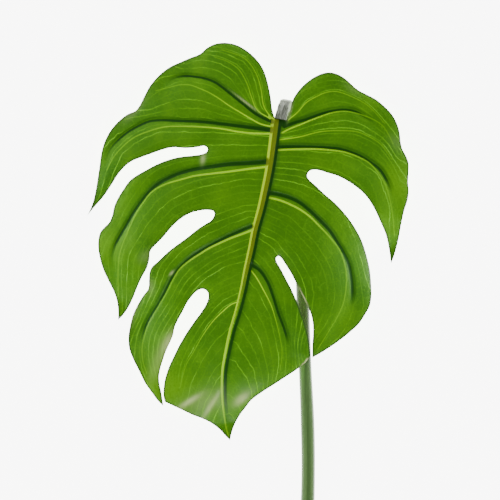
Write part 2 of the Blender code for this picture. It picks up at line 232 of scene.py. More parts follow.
def add_node(tree: bpy.types.NodeTree, kind: str, inputs: dict | None = None, **settings) -> bpy.types.Node:
    """Adds a node with its settings and links.

    Args:
        tree: The node tree of a material.
        kind: The node's type name.
        inputs: Values or sockets for its inputs, by name or number.
        **settings: Values for the node's own properties.

    Returns:
        The new node.
    """
    node = tree.nodes.new(kind)
    for name, value in settings.items():
        setattr(node, name, value)
    for key, value in (inputs or {}).items():
        if isinstance(value, bpy.types.NodeSocket):
            tree.links.new(value, node.inputs[key])
        else:
            node.inputs[key].default_value = value
    return node


@dataclass
class Palette:
    """Builds up one material: a colour mixed in layers, a height for its bump, and its shader."""

    name: str
    material: bpy.types.Material = field(init=False)
    tree: bpy.types.NodeTree = field(init=False)

    def __post_init__(self) -> None:
        """Starts an empty material of this name."""
        self.material = bpy.data.materials.new(self.name)
        self.material.use_nodes = True
        self.tree = self.material.node_tree
        self.tree.nodes.clear()

    def reading(self, attribute: str) -> bpy.types.NodeSocket:
        """The value that the mesh holds under this attribute name."""
        return add_node(self.tree, "ShaderNodeAttribute", attribute_name=attribute).outputs["Fac"]

    def place(self) -> bpy.types.NodeSocket:
        """The object's own coordinates in metres."""
        return add_node(self.tree, "ShaderNodeTexCoord").outputs["Object"]

    def maths(self, operation: str, *values: object) -> bpy.types.NodeSocket:
        """The result of a Math operation on values or sockets."""
        node = add_node(self.tree, "ShaderNodeMath", dict(enumerate(values)), operation=operation)
        return node.outputs[0]

    def times(self, first: object, second: object) -> bpy.types.NodeSocket:
        """The product of two values or sockets."""
        return self.maths("MULTIPLY", first, second)

    def ease(self, value: object, start: float, end: float, low: float = 0.0, high: float = 1.0):
        """Eases from `low` to `high` as a value goes from `start` to `end`.

        Args:
            value: The socket that is read.
            start: The value that gives `low`.
            end: The value that gives `high`.
            low: The first result.
            high: The last result.

        Returns:
            The socket of the result.
        """
        inputs = {"Value": value, "From Min": start, "From Max": end, "To Min": low, "To Max": high}
        node = add_node(self.tree, "ShaderNodeMapRange", inputs, interpolation_type="SMOOTHSTEP")
        return node.outputs[0]

    def noise(self, size: float, vector: object = None, detail: float = 2.0) -> bpy.types.NodeSocket:
        """Noise of about this size in metres, over the object unless a vector is given."""
        inputs = {"Vector": vector or self.place(), "Scale": 1 / size, "Detail": detail}
        return add_node(self.tree, "ShaderNodeTexNoise", inputs).outputs["Fac"]

    def stretched(self, scale: tuple[float, float, float], vector: object = None) -> bpy.types.NodeSocket:
        """The object's coordinates, or a vector, scaled along each axis."""
        inputs = {"Vector": vector or self.place(), "Scale": scale}
        return add_node(self.tree, "ShaderNodeMapping", inputs).outputs["Vector"]

    def layer(self, under: object, over: object, amount: object) -> bpy.types.NodeSocket:
        """Lays one colour, a socket or an sRGB code, over another by an amount from 0 to 1."""
        under, over = (srgb(tone) if isinstance(tone, str) else tone for tone in (under, over))
        inputs = {"Factor": amount, MIX_UNDER: under, MIX_OVER: over}
        node = add_node(self.tree, "ShaderNodeMix", inputs, data_type="RGBA")
        return node.outputs[MIX_RESULT]

    def strip(self, value: object, rise: Ramp, fall: Ramp) -> bpy.types.NodeSocket:
        """A mask of 1 where a value lies between a rising ramp and a falling one."""
        return self.times(self.ease(value, *rise), self.ease(value, *fall))

    def off_line(self, count: object) -> bpy.types.NodeSocket:
        """The distance in mm to the nearest line of a running count, which has them at its halves."""
        away = self.maths("ABSOLUTE", self.maths("SUBTRACT", self.maths("FRACT", count), 0.5))
        return self.times(away, self.reading("fan_pitch"))

    def line(self, attribute: str, soft: float = 0.45) -> bpy.types.NodeSocket:
        """A mask of 1 on a line whose attribute counts half widths from its middle."""
        return self.ease(self.reading(attribute), 1 + soft, 1 - soft)

    def bumps(self, height: object, depth: float) -> bpy.types.NodeSocket:
        """A normal from a height between 0 and 1, for relief of this depth in metres."""
        inputs = {"Height": height, "Distance": depth, "Strength": 1.0}
        return add_node(self.tree, "ShaderNodeBump", inputs).outputs["Normal"]

    def shade(self, colour: object, roughness: object, normal: object = None, **values: float) -> None:
        """Ends the material in a Principled shader.

        Args:
            colour: The base colour, a value or a socket.
            roughness: The roughness, a value or a socket.
            normal: The socket of the normal, if the surface has bumps.
            **values: Further inputs of the shader, with underscores for the blanks in their names.
        """
        inputs = {"Base Color": colour, "Roughness": roughness}
        inputs.update({name.replace("_", " "): value for name, value in values.items()})
        if normal is not None:
            inputs["Normal"] = normal
        shader = add_node(self.tree, "ShaderNodeBsdfPrincipled", inputs)
        add_node(self.tree, "ShaderNodeOutputMaterial", {"Surface": shader.outputs[0]})


@dataclass(frozen=True)
class LeafFaceFinish:
    """The upper skin of a monstera leaf: waxy, satin, with printed-bright veins in deep green.

    The wax gives a soft sheen that turns bluish grey where the blade falls away from the eye; part of
    that sheen, with the glints on the tip and the crease lips, is painted sheen in a pale colour. The
    creases, their upper banks and the midrib's right flank carry painted shade, and patches of the
    blade are lightened, partly with painted light, or darkened with painted shade. The sides of a strip
    of the midrib are its rising and its falling ramp, from the left to the right.
    """

    green: str = "467C03"
    deep_green: str = "3B7004"
    fresh_green: str = "5A9204"
    # Dark green of the painted shade in the creases and on their upper banks
    crease_shade_green: str = "144204"
    shaded_green: str = "2C5E0A"
    fine_vein: str = "72BC18"
    bright_vein: str = "A0DC00"
    far_vein: str = "7CC000"
    rib_light: str = "B4E000"
    rib_shade_olive: str = "66780A"
    rib_shadow: str = "123E06"
    rim_green: str = "2E4A1C"
    # Pale colour of the painted sheen: painted highlights and painted reflections on the skin
    painted_sheen: str = "CEDC94"
    mottle_size: float = 28 * MM
    mottle: Ramp = (0.35, 0.65)
    blotch_size: float = 22 * MM
    blotch_scale: tuple[float, float, float] = (1.0, 0.6, 1.0)
    blotches: Ramp = (0.5, 0.72)
    blotches_outward: Ramp = (0.4, 0.9)
    blotch_amount: float = 0.8
    outer: Ramp = (0.45, 1.0, 0.0, 0.6)
    speck_size: float = 1.6 * MM
    speck_detail: float = 3.0
    pale_specks: Ramp = (0.52, 0.72, 0.0, 0.3)
    dark_specks: Ramp = (0.48, 0.3, 0.0, 0.35)
    fine_half_width: float = 0.30
    fine_inside: float = 0.4
    fine_outside: float = 1.7
    fine_wander: float = 0.5
    fine_bend_size: float = 16 * MM
    fine_kink_size: float = 5 * MM
    fine_own: Ramp = (0.05, 0.95, 0.15, 1.0)
    fine_break_size: float = 13 * MM
    fine_breaks: Ramp = (0.36, 0.6, 0.3, 1.0)
    fine_pitch: Ramp = (1.7, 2.6)
    fine_amount: float = 0.85
    net_size: float = 7 * MM
    net_line: Ramp = (0.06, 0.01)
    net_cloud_size: float = 8 * MM
    net_clouds: Ramp = (0.45, 0.65, 0.0, 0.16)
    bank_shade: Ramp = (1.6, 0.2, 0.0, 0.55)
    shaded_pit_softness: float = 0.3
    near_vein: Ramp = (0.5, 1.0)
    rim: Ramp = (1.6, 0.6)
    rim_amount: float = 0.85
    hub_shadow_across: Ramp = (0.7, 1.1)
    hub_shadow_reach: Ramp = (5.2, 2.0)
    groove_sides: tuple[Ramp, Ramp] = ((-0.3, 0.3), (2.8, 1.9))
    groove_end: Ramp = (0.97, 0.86)
    shadow_sides: tuple[Ramp, Ramp] = ((-0.2, 0.5), (6.0, 1.5))
    shadow_end: Ramp = (0.97, 0.8, 0.0, 0.5)
    olive_shade_sides: tuple[Ramp, Ramp] = ((-1.2, -1.0), (1.15, 0.85))
    olive_shade_end: Ramp = (0.62, 0.42)
    light_sides: tuple[Ramp, Ramp] = ((-1.25, -1.0), (-0.2, -0.45))
    tip_light_sides: tuple[Ramp, Ramp] = ((-1.1, -0.7), (0.6, 0.2))
    tip_light_start: Ramp = (0.5, 0.75)
    light_off_crease: Ramp = (1.1, 2.2)
    light_end: Ramp = (1.02, 0.75, 0.25, 1.0)
    light_tint: Ramp = (0.4, 0.8)
    fine_height: float = 0.5
    speck_height: float = 0.45
    bump_depth: float = 0.22 * MM
    gloss_gain: float = 0.17
    wax_size: float = 9 * MM
    wax_roughness: Ramp = (0.3, 0.7, 0.33, 0.43)
    specular: float = 0.1

    def material(self) -> bpy.types.Material:
        """Builds the skin's material from the attributes of the blade's mesh."""
        skin = Palette("leaf_face_waxy_skin")
        mottle = skin.ease(skin.noise(self.mottle_size), *self.mottle)
        colour = skin.layer(self.deep_green, self.green, mottle)
        blotches = skin.noise(self.blotch_size, skin.stretched(self.blotch_scale))
        outward = skin.ease(skin.reading("outward"), *self.blotches_outward)
        blotches = skin.times(skin.ease(blotches, *self.blotches), outward)
        colour = skin.layer(colour, self.fresh_green, skin.times(blotches, self.blotch_amount))
        outer = skin.ease(skin.reading("outward"), *self.outer)
        specks = skin.noise(self.speck_size, detail=self.speck_detail)
        # The lighter patches are partly the leaf's own fresher green and partly painted light; the shaded
        # patches are painted shade
        for tone, amount in (
            (self.deep_green, outer),
            (self.fresh_green, skin.reading("fresh_and_lit")),
            (self.shaded_green, skin.reading("shaded")),
            (self.fresh_green, skin.ease(specks, *self.pale_specks)),
            (self.deep_green, skin.ease(specks, *self.dark_specks)),
        ):
            colour = skin.layer(colour, tone, amount)

        fine = self.fine_veins(skin)
        colour = skin.layer(colour, self.fine_vein, skin.times(fine, self.fine_amount))

        # Painted shade: the upper bank of each crease and its pit are darkened in the crease's dark green
        bank_shade = skin.times(skin.ease(skin.reading("bank_shade"), *self.bank_shade), skin.reading("bank_shade_strength"))
        colour = skin.layer(colour, self.crease_shade_green, bank_shade)
        shaded_pit = skin.times(skin.line("crease", self.shaded_pit_softness), skin.reading("crease_strength"))
        colour = skin.layer(colour, self.crease_shade_green, shaded_pit)

        strength = skin.reading("bright_strength")
        tint = skin.layer(self.far_vein, self.bright_vein, skin.ease(strength, *self.near_vein))
        colour = skin.layer(colour, tint, skin.times(skin.line("bright"), strength))
        colour = self.midrib(skin, colour)
        rim = skin.times(skin.ease(skin.reading("rim"), *self.rim), self.rim_amount)
        colour = skin.layer(colour, self.rim_green, rim)
        # Painted sheen in pale colour: painted highlights on the tip, the crease lips and the slit edges, and
        # painted reflections on rims that fall away
        colour = skin.layer(colour, self.painted_sheen, skin.reading("painted_sheen"))

        raised = skin.times(specks, self.speck_height)
        height = skin.maths("MULTIPLY_ADD", fine, self.fine_height, raised)
        roughness = skin.ease(skin.noise(self.wax_size), *self.wax_roughness)
        waxed = skin.times(skin.reading("gloss"), self.gloss_gain)
        roughness = skin.maths("SUBTRACT", roughness, waxed)
        normal = skin.bumps(height, self.bump_depth)
        skin.shade(colour, roughness, normal, Specular_IOR_Level=self.specular)
        return skin.material

    def fine_veins(self, skin: Palette) -> bpy.types.NodeSocket:
        """Draws the fine side veins, thin lines that fan out beside the main ones.

        Args:
            skin: The material being built.

        Returns:
            A mask of 1 on the lines, each line of its own strength.
        """
        wander = skin.times(skin.noise(self.fine_bend_size), self.fine_wander)
        fan = skin.maths("ADD", skin.reading("fan"), wander)
        kinks = skin.times(skin.noise(self.fine_kink_size), self.fine_wander / 2)
        fan = skin.maths("ADD", fan, kinks)
        outside, inside = (self.fine_half_width * share for share in (self.fine_outside, self.fine_inside))
        line = skin.ease(skin.off_line(fan), outside, inside)
        number = {"W": skin.maths("FLOOR", fan)}
        own = add_node(skin.tree, "ShaderNodeTexWhiteNoise", number, noise_dimensions="1D")
        line = skin.times(line, skin.ease(own.outputs["Value"], *self.fine_own))
        line = skin.times(line, skin.ease(skin.noise(self.fine_break_size), *self.fine_breaks))
        cells = {"Vector": skin.place(), "Scale": 1 / self.net_size}
        net = add_node(skin.tree, "ShaderNodeTexVoronoi", cells, feature="DISTANCE_TO_EDGE")
        net = skin.ease(net.outputs["Distance"], *self.net_line)
        net = skin.times(net, skin.ease(skin.noise(self.net_cloud_size), *self.net_clouds))
        line = skin.times(skin.maths("MAXIMUM", line, net), skin.reading("open"))
        return skin.times(line, skin.ease(skin.reading("fan_pitch"), *self.fine_pitch))

    def midrib(self, skin: Palette, colour: bpy.types.NodeSocket) -> bpy.types.NodeSocket:
        """Lays the midrib's three strips over the colour: its light strip, olive painted shade on its right
        flank, and painted shadow in its groove, beyond it and at the hub.

        Args:
            skin: The material being built.
            colour: The colour so far.

        Returns:
            The colour with the midrib.
        """
        across = skin.reading("midrib")
        share = skin.reading("midrib_share")
        beyond = skin.reading("beyond_midrib")
        # Painted shadow in the notch beside the midrib's foot, beyond the groove and in it
        hub_shadow = skin.ease(skin.reading("hub_shadow"), *self.hub_shadow_reach)
        hub_shadow = skin.times(hub_shadow, skin.ease(across, *self.hub_shadow_across))
        shadow = skin.times(skin.strip(beyond, *self.shadow_sides), skin.ease(share, *self.shadow_end))
        groove = skin.times(skin.strip(beyond, *self.groove_sides), skin.ease(share, *self.groove_end))
        for amount in (hub_shadow, shadow, groove):
            colour = skin.layer(colour, self.rib_shadow, amount)
        # Painted shade on the rib's right flank, in olive
        olive = skin.times(skin.strip(across, *self.olive_shade_sides), skin.ease(share, *self.olive_shade_end))
        colour = skin.layer(colour, self.rib_shade_olive, olive)
        near_tip = skin.ease(share, *self.tip_light_start)
        tip_light = skin.times(skin.strip(across, *self.tip_light_sides), near_tip)
        light = skin.maths("MAXIMUM", skin.strip(across, *self.light_sides), tip_light)
        light = skin.times(light, skin.ease(skin.reading("crease"), *self.light_off_crease))
        light = skin.times(light, skin.ease(share, *self.light_end))
        tint = skin.layer(self.rib_light, self.bright_vein, skin.ease(share, *self.light_tint))
        return skin.layer(colour, tint, light)


@dataclass(frozen=True)
class LeafUndersideFinish:
    """The lower skin of a monstera leaf: paler and duller than the face, without its wax."""

    green: str = "6F9440"
    pale_green: str = "87A85A"
    rib_green: str = "A3B860"
    mottle_size: float = 18 * MM
    mottle_detail: float = 4.0
    mottle: Ramp = (0.35, 0.65)
    line: Ramp = (0.6, 0.15)
    line_amount: float = 0.4
    side_rib: Ramp = (2.2, 0.8)
    main_rib: Ramp = (2.0, 1.0)
    grain_size: float = 1.4 * MM
    bump_depth: float = 0.25 * MM
    roughness: float = 0.62

    def material(self) -> bpy.types.Material:
        """Builds the lower skin's material from the attributes of the blade's mesh."""
        skin = Palette("leaf_underside_matt_skin")
        mottle = skin.ease(skin.noise(self.mottle_size, detail=self.mottle_detail), *self.mottle)
        colour = skin.layer(self.green, self.pale_green, mottle)
        line = skin.ease(skin.off_line(skin.reading("fan")), *self.line)
        colour = skin.layer(colour, self.rib_green, skin.times(line, self.line_amount))
        rib = skin.ease(skin.reading("crease"), *self.side_rib)
        rib = skin.times(rib, skin.reading("crease_strength"))
        main = skin.ease(skin.maths("ABSOLUTE", skin.reading("midrib")), *self.main_rib)
        colour = skin.layer(colour, self.rib_green, skin.maths("MAXIMUM", rib, main))
        normal = skin.bumps(skin.maths("ADD", line, skin.noise(self.grain_size)), self.bump_depth)
        skin.shade(colour, self.roughness, normal)
        return skin.material


@dataclass(frozen=True)
class LeafEdgeFinish:
    """The cut through the blade's thickness: dark green, dry and matt."""

    green: str = "44662F"
    dry_green: str = "6C8548"
    grain_size: float = 2.5 * MM
    dry: Ramp = (0.4, 0.7, 0.0, 0.5)
    roughness: float = 0.7

    def material(self) -> bpy.types.Material:
        """Builds the edge's material, faintly uneven along the cut."""
        skin = Palette("leaf_edge_dry_cut")
        dry = skin.ease(skin.noise(self.grain_size), *self.dry)
        skin.shade(skin.layer(self.green, self.dry_green, dry), self.roughness)
        return skin.material


@dataclass(frozen=True)
class StalkFinish:
    """The skin of the stalk: smooth and satin, with long faint fibres under it."""

    green: str = "4B6936"
    shaded_green: str = "405D2E"
    pale_green: str = "5F7B49"
    # Painted shadow of the blade on the stalk: its colour, where it starts and where it is full along Y, and
    # how much of it shows
    under_blade_shadow: str = "33382E"
    blade_tip: float = -28 * MM
    blade_shade: float = -6 * MM
    under_blade_shadow_amount: float = 0.95
    fibre_width: float = 0.8 * MM
    fibre_length: float = 60 * MM
    fibre_detail: float = 3.0
    fibres: Ramp = (0.5, 0.75, 0.0, 0.45)
    band_width: float = 2.4 * MM
    bands: Ramp = (0.4, 0.65)
    speck_size: float = 0.9 * MM
    specks: Ramp = (0.62, 0.75, 0.0, 0.4)
    fibre_height: float = 0.7
    speck_height: float = 0.3
    bump_depth: float = 0.12 * MM
    roughness: float = 0.45
    specular: float = 0.2

    def material(self) -> bpy.types.Material:
        """Builds the skin's material. The fibres run along the stalk, which lies along Y."""
        skin = Palette("stalk_satin_skin")
        long_way = skin.stretched((1, self.fibre_width / self.fibre_length, 1))
        fibres = skin.noise(self.fibre_width, long_way, detail=self.fibre_detail)
        bands = skin.ease(skin.noise(self.band_width, long_way), *self.bands)
        colour = skin.layer(self.green, self.shaded_green, bands)
        colour = skin.layer(colour, self.pale_green, skin.ease(fibres, *self.fibres))
        specks = skin.noise(self.speck_size)
        colour = skin.layer(colour, self.pale_green, skin.ease(specks, *self.specks))
        # Painted shadow: the stalk darkens along Y towards the knee, where it runs under the blade
        along = add_node(skin.tree, "ShaderNodeSeparateXYZ", {"Vector": skin.place()}).outputs["Y"]
        under = skin.ease(along, self.blade_tip, self.blade_shade, 0.0, self.under_blade_shadow_amount)
        colour = skin.layer(colour, self.under_blade_shadow, under)
        raised = skin.times(specks, self.speck_height)
        height = skin.maths("MULTIPLY_ADD", fibres, self.fibre_height, raised)
        normal = skin.bumps(height, self.bump_depth)
        skin.shade(colour, self.roughness, normal, Specular_IOR_Level=self.specular)
        return skin.material


@dataclass(frozen=True)
class StalkCutFinish:
    """The cut end of the stalk: pale wet pith with darker strands in it."""

    pith: str = "B9BE86"
    strand: str = "7F8A4A"
    strand_size: float = 0.9 * MM
    strands: Ramp = (0.45, 0.2)
    bump_depth: float = 0.2 * MM
    roughness: float = 0.5

    def material(self) -> bpy.types.Material:
        """Builds the pith's material, with a cell for each strand."""
        skin = Palette("stalk_cut_pith")
        layout = {"Vector": skin.place(), "Scale": 1 / self.strand_size}
        cells = add_node(skin.tree, "ShaderNodeTexVoronoi", layout).outputs["Distance"]
        colour = skin.layer(self.pith, self.strand, skin.ease(cells, *self.strands))
        skin.shade(colour, self.roughness, skin.bumps(cells, self.bump_depth))
        return skin.material


@dataclass(frozen=True)
class KneeFinish:
    """The sheath of the knee: dry grey bast, fibrous and matt, with pale and dark strands."""

    grey: str = "5E6356"
    pale: str = "8A8E84"
    dark: str = "363C2E"
    strand_width: float = 0.7 * MM
    strand_length: float = 9 * MM
    strand_detail: float = 4.0
    pale_strands: Ramp = (0.48, 0.66)
    dark_strands: Ramp = (0.46, 0.3)
    blotch_size: float = 4 * MM
    blotches: Ramp = (0.52, 0.7, 0.0, 0.55)
    bump_depth: float = 0.35 * MM
    roughness: float = 0.8

    def material(self) -> bpy.types.Material:
        """Builds the sheath's material. Its strands follow the bend by the mesh's own coordinates."""
        skin = Palette("knee_dry_bast")
        wrap = add_node(skin.tree, "ShaderNodeAttribute", attribute_name="wrap").outputs["Vector"]
        long_way = skin.stretched((1, 1, self.strand_width / self.strand_length), wrap)
        strands = skin.noise(self.strand_width, long_way, detail=self.strand_detail)
        colour = skin.layer(self.grey, self.pale, skin.ease(strands, *self.pale_strands))
        colour = skin.layer(colour, self.dark, skin.ease(strands, *self.dark_strands))
        blotches = skin.ease(skin.noise(self.blotch_size, wrap), *self.blotches)
        colour = skin.layer(colour, self.dark, blotches)
        skin.shade(colour, self.roughness, skin.bumps(strands, self.bump_depth))
        return skin.material


@dataclass(frozen=True)
class FloorFinish:
    """A light table of matt opal acrylic: lit evenly from beneath, it holds no shadow."""

    white: str = "F7F7F6"
    cloud_white: str = "F3F3F2"
    cloud_size: float = 0.5
    clouds: Ramp = (0.3, 0.7)
    roughness: float = 0.75
    glow: float = 8.0

    def material(self) -> bpy.types.Material:
        """Builds the table's material, all but even."""
        skin = Palette("floor_opal_acrylic")
        clouds = skin.ease(skin.noise(self.cloud_size), *self.clouds)
        colour = skin.layer(self.white, self.cloud_white, clouds)
        lit = {"Emission_Color": srgb(self.white), "Emission_Strength": self.glow}
        skin.shade(colour, self.roughness, **lit)
        return skin.material


@dataclass
class Vein:
    """A line on the blade: its course on the grid, and its half width at either end in metres."""

    course: Points
    half_width: float = 1.0 * MM
    end_half_width: float = 0.4 * MM
    strength: float = 1.0
    end_strength: float = 0.4
    fade_start: float = 0.0
    fade_end: float = 1.0
    shift: float = 0.0
    narrowing: float = 0.7

    def read(self, points: np.ndarray) -> tuple[np.ndarray, np.ndarray, np.ndarray]:
        """Measures points against the line, moved to its left by its shift.

        Args:
            points: Plan points in metres.

        Returns:
            The distance in half widths, the strength of the line there, and the distance.
        """
        line = smooth_line(self.course, LINE_STEP)
        run = np.gradient(line, axis=0)
        run /= np.linalg.norm(run, axis=1)[:, None]
        line += self.shift * np.column_stack([-run[:, 1], run[:, 0]])
        reading = read_line(line, points)
        narrowed = reading.share**self.narrowing
        half_width = self.half_width + (self.end_half_width - self.half_width) * narrowed
        faded = (reading.share - self.fade_start) / (self.fade_end - self.fade_start)
        faded = np.clip(faded, 0, 1)
        strength = self.strength + (self.end_strength - self.strength) * faded
        return reading.distance / half_width, strength, reading.distance


# The outline, run by run from corner to corner, against the clock from the notch at the stalk
OUTLINE_RUNS: dict[str, Points] = {
    "left_basal_lobe": [
        (274.5, 117.8), (272.3, 110), (270.6, 97), (267, 80), (262.5, 68), (255, 58), (245, 49.5),
        (235, 44.5), (225, 42.8), (215, 44), (207, 48), (200, 54), (190, 58), (180, 62.3),
        (170, 67), (160, 74.5), (150, 86), (144, 97), (140, 105), (135.5, 110.8), (128, 114),
        (120, 120), (112, 128.5), (106, 138.5), (102, 150), (98.5, 172), (94.8, 194),
        (92, 204.5), (87.5, 215),
    ],
    "upper_left_slit": [
        (87.5, 215), (95, 206), (103, 197), (111, 185.5), (118, 174.5), (125, 166.5),
        (132, 161.3), (142, 157.2), (153, 153.2), (163, 149.7), (173, 147.5), (186, 148.3),
        (198, 147.2), (204.5, 146.2), (207.8, 149), (206.5, 152.3), (202, 154.3), (193, 155.7),
        (182, 156.8), (170, 159.5), (158, 164), (146, 170.3), (136, 176), (129.5, 181),
        (124, 188.5), (118, 198), (114, 207), (112, 216), (109, 222.5), (104, 227.5),
        (100.3, 232), (98.3, 239), (98, 247), (99.5, 257), (103, 269), (108.5, 281),
        (113.5, 291), (116.8, 301), (118, 311), (118, 320),
    ],
    "middle_left_slit": [
        (118, 320), (123, 315), (128.5, 307), (133, 298), (137, 288), (142, 277), (147, 268),
        (149.5, 259), (150.5, 251), (155, 245.5), (162.5, 238), (171, 228), (180, 219.5),
        (190, 213.5), (200, 210.7), (208, 210.1), (213.5, 211.3), (214.5, 214.5), (211.5, 220.3),
        (206, 223.8), (198, 229), (188, 237), (177, 245), (168, 252), (158, 261.5), (152, 267),
        (149.6, 273), (149, 281), (148.4, 288.5), (143, 296), (137, 306), (132.5, 316),
        (130, 326), (128.3, 337), (129, 348), (133, 359), (138.5, 370), (145, 383), (152, 393),
        (158, 401), (163.3, 406),
    ],
    "lower_left_slit": [
        (163.3, 406), (162.3, 399), (161.2, 392), (159.8, 386), (159, 377), (160.3, 369),
        (163, 360), (166.5, 350), (170.5, 341.5), (173.3, 334.5), (174.7, 327.5), (178, 320),
        (183, 311), (187, 303), (192, 296), (197, 291), (202.5, 288.8), (207, 291),
        (208.6, 296), (206.5, 303.5), (201, 312.5), (194, 322), (186.5, 333), (180, 344),
        (174, 356), (168.5, 368), (164.8, 380), (163.4, 391), (163.6, 397), (164.9, 402),
    ],
    "end_lobe_left": [
        (164.9, 402), (172, 405.3), (182, 410), (193, 415.2), (203, 419), (212, 423.7),
        (220, 430), (226, 436.5), (230, 440.5),
    ],
    "end_lobe_right": [
        (230, 440.5), (232, 432), (235, 424), (240, 415), (246, 407), (251, 400.5), (260, 393.5),
        (280, 380.5), (300, 367), (306, 361.5), (310.3, 356),
    ],
    "lower_right_slit": [
        (310.3, 356), (309.8, 349), (308.1, 337), (305, 325), (301.5, 314.5), (297, 302),
        (291.5, 289.5), (286, 279), (280.5, 268.5), (276.3, 261), (276, 257.8), (278.6, 256),
        (281, 257.8), (285.5, 264.5), (291, 273.2), (296.5, 284), (301.5, 293.5), (306.5, 304),
        (310.5, 313), (312.7, 323), (313, 333), (312.3, 345), (312.3, 357.6),
    ],
    "upper_right_slit": [
        (312.3, 357.6), (320, 353.3), (330, 347), (340, 340), (350, 332), (359, 323.5),
        (365, 314.5), (369.5, 306.5), (371.4, 297), (371.3, 284), (370, 270), (366.8, 256),
        (361.8, 241), (355, 228), (346, 215.3), (335, 203.3), (325, 194.7), (315, 185.3),
        (308.3, 179), (307, 175.8), (308.8, 171.7), (313, 170), (319, 170.5), (328, 173.3),
        (337, 176), (347, 181), (356, 187), (365, 195), (373, 206.5), (380, 221), (386, 235),
        (389, 248), (391.3, 263.5),
    ],
    "right_basal_lobe": [
        (391.3, 263.5), (395, 253.5), (398.5, 240), (401, 226), (404, 211.5), (407.5, 200),
        (408.7, 192), (408, 182), (408.5, 172), (408.5, 163), (406, 156), (402.3, 149),
        (400.6, 141.5), (399.8, 134), (397.5, 125), (392.5, 115.3), (385, 107), (376, 99.5),
        (367, 94.7), (358, 90), (351, 84), (345, 78.7), (338, 74.5), (330, 72.5), (322, 73.7),
        (313, 78), (305, 84), (298, 91.5), (293.2, 99), (291, 106), (289, 114), (286.5, 120.6),
    ],
    "notch": [(286.5, 120.6), (281, 118.8), (274.5, 117.8)],
}

MIDRIB: Points = [
    (275.3, 120), (274, 130), (271.5, 150), (268.5, 170), (264.5, 190), (260, 210), (254.5, 230),
    (250.5, 250), (246, 270), (242, 290), (237, 310), (231, 330), (226.5, 350), (223, 370),
    (222.3, 390), (223.7, 410), (227, 430), (229.3, 437.5),
]

# The pressed crease of each side vein, from the midrib out to the tip of its lobe
CREASES: dict[str, Points] = {
    "left_basal": [
        (272, 121.5), (265, 118.5), (255, 113), (245, 105), (235, 97), (225, 89), (215, 82),
        (205, 78.3), (195, 76.5), (185, 75.8), (175, 77.5), (167, 81.5),
    ],
    "left_upper": [
        (271, 129.8), (260, 128.5), (240, 126), (220, 123.5), (200, 121.5), (180, 120.7),
        (162, 120), (150, 121), (138, 126), (127, 132.5), (118, 140), (110, 149), (104, 163),
    ],
    "left_middle": [
        (266, 161.5), (250, 162.8), (230, 164), (210, 166.7), (195, 169), (180, 173),
        (165, 179.5), (155, 186), (147, 194), (140, 203), (133, 213), (126, 225), (119, 237),
        (114, 247), (111.5, 259), (112.5, 275),
    ],
    "left_lower": [
        (251, 226), (238, 231.5), (228, 236), (216, 242), (205, 248), (195, 254), (185, 262),
        (176, 271.5), (170, 281), (164, 293), (158, 304), (151, 315), (145, 327), (141.5, 340),
        (142, 355), (146, 371),
    ],
    "right_basal": [
        (284, 126.5), (296, 122), (305, 119.5), (315, 115.8), (325, 112.5), (335, 110.5),
        (345, 109.7), (355, 111.5), (365, 116.5), (375, 123),
    ],
    "right_upper": [
        (276, 147), (290, 146.5), (310, 146.8), (330, 147.7), (340, 148.8), (350, 151.8),
        (360, 155.8), (370, 162), (379, 168.5), (385, 177), (390, 188), (393.5, 205), (394.5, 222),
    ],
    "right_lower": [
        (269, 192.5), (280, 194.5), (290, 197.5), (300, 202.5), (310, 210.5), (320, 220.2),
        (330, 230.8), (338, 243), (344, 253), (349, 264), (351.3, 275), (352.5, 286),
        (352, 300), (347, 315), (337, 330),
    ],
    "right_end": [
        (251, 264), (260, 270), (268, 282), (273, 295), (279, 314), (284, 327), (288, 341),
        (290, 356),
    ],
}

# The printed bright vein beside each crease
BRIGHT_VEINS: dict[str, Points] = {
    "left_basal": [
        (271.5, 127), (260, 124), (250, 118.5), (240, 112.5), (230, 106.5), (220, 99.5),
        (210, 93.3), (200, 88.8), (190, 85.2), (180, 85), (170, 87.3), (156, 91),
    ],
    "left_upper": [
        (271, 134), (255, 133.7), (240, 132.3), (220, 128.8), (200, 127.1), (180, 126.5),
        (165, 127), (150, 131), (136, 136.5), (128, 142), (120, 149.5), (113, 158), (107, 170),
    ],
    "left_middle": [
        (267, 167), (250, 169), (230, 171.7), (210, 174), (195, 176), (180, 180), (165, 184.5),
        (152, 192), (143, 203), (137, 212), (131, 224), (126, 236), (122, 246), (119, 258),
        (118, 275), (118.5, 296),
    ],
    "left_lower": [
        (252.5, 230), (243, 233.7), (232, 237.7), (220, 243), (208, 248.9), (200, 254),
        (190, 260.5), (180, 269), (173, 280), (166.5, 293), (160, 304), (154, 314), (148, 325),
        (144, 337), (142, 349), (143, 362), (147, 374),
    ],
    "left_end": [
        (238.5, 301.5), (231, 304.5), (222, 312), (214, 320), (207, 329), (200, 340), (193, 353),
        (187, 363), (183, 375), (180, 388),
    ],
    "right_basal": [
        (282, 133), (290, 129), (300, 125), (310, 120.8), (320, 117), (332, 113), (345, 111.5),
        (360, 114.5), (375, 120.5), (383, 126.5), (389, 136), (393, 144),
    ],
    "right_upper": [
        (278, 150.3), (295, 149.5), (315, 149.3), (330, 150.3), (345, 152.5), (360, 158),
        (370, 164), (380, 176), (386, 187), (390, 201), (393, 218), (394.5, 236),
    ],
    "right_lower": [
        (268, 197.5), (280, 200.5), (290, 204.5), (300, 209.7), (310, 217), (320, 227),
        (330, 237.5), (340, 251), (345, 266), (346.5, 277), (345.5, 292), (343, 304),
        (336, 319), (330, 329), (322, 342), (318, 349),
    ],
    "right_end": [
        (250, 269), (256, 277), (264, 291), (271, 305), (276, 321), (280, 338), (282, 353),
        (280, 370),
    ],
}

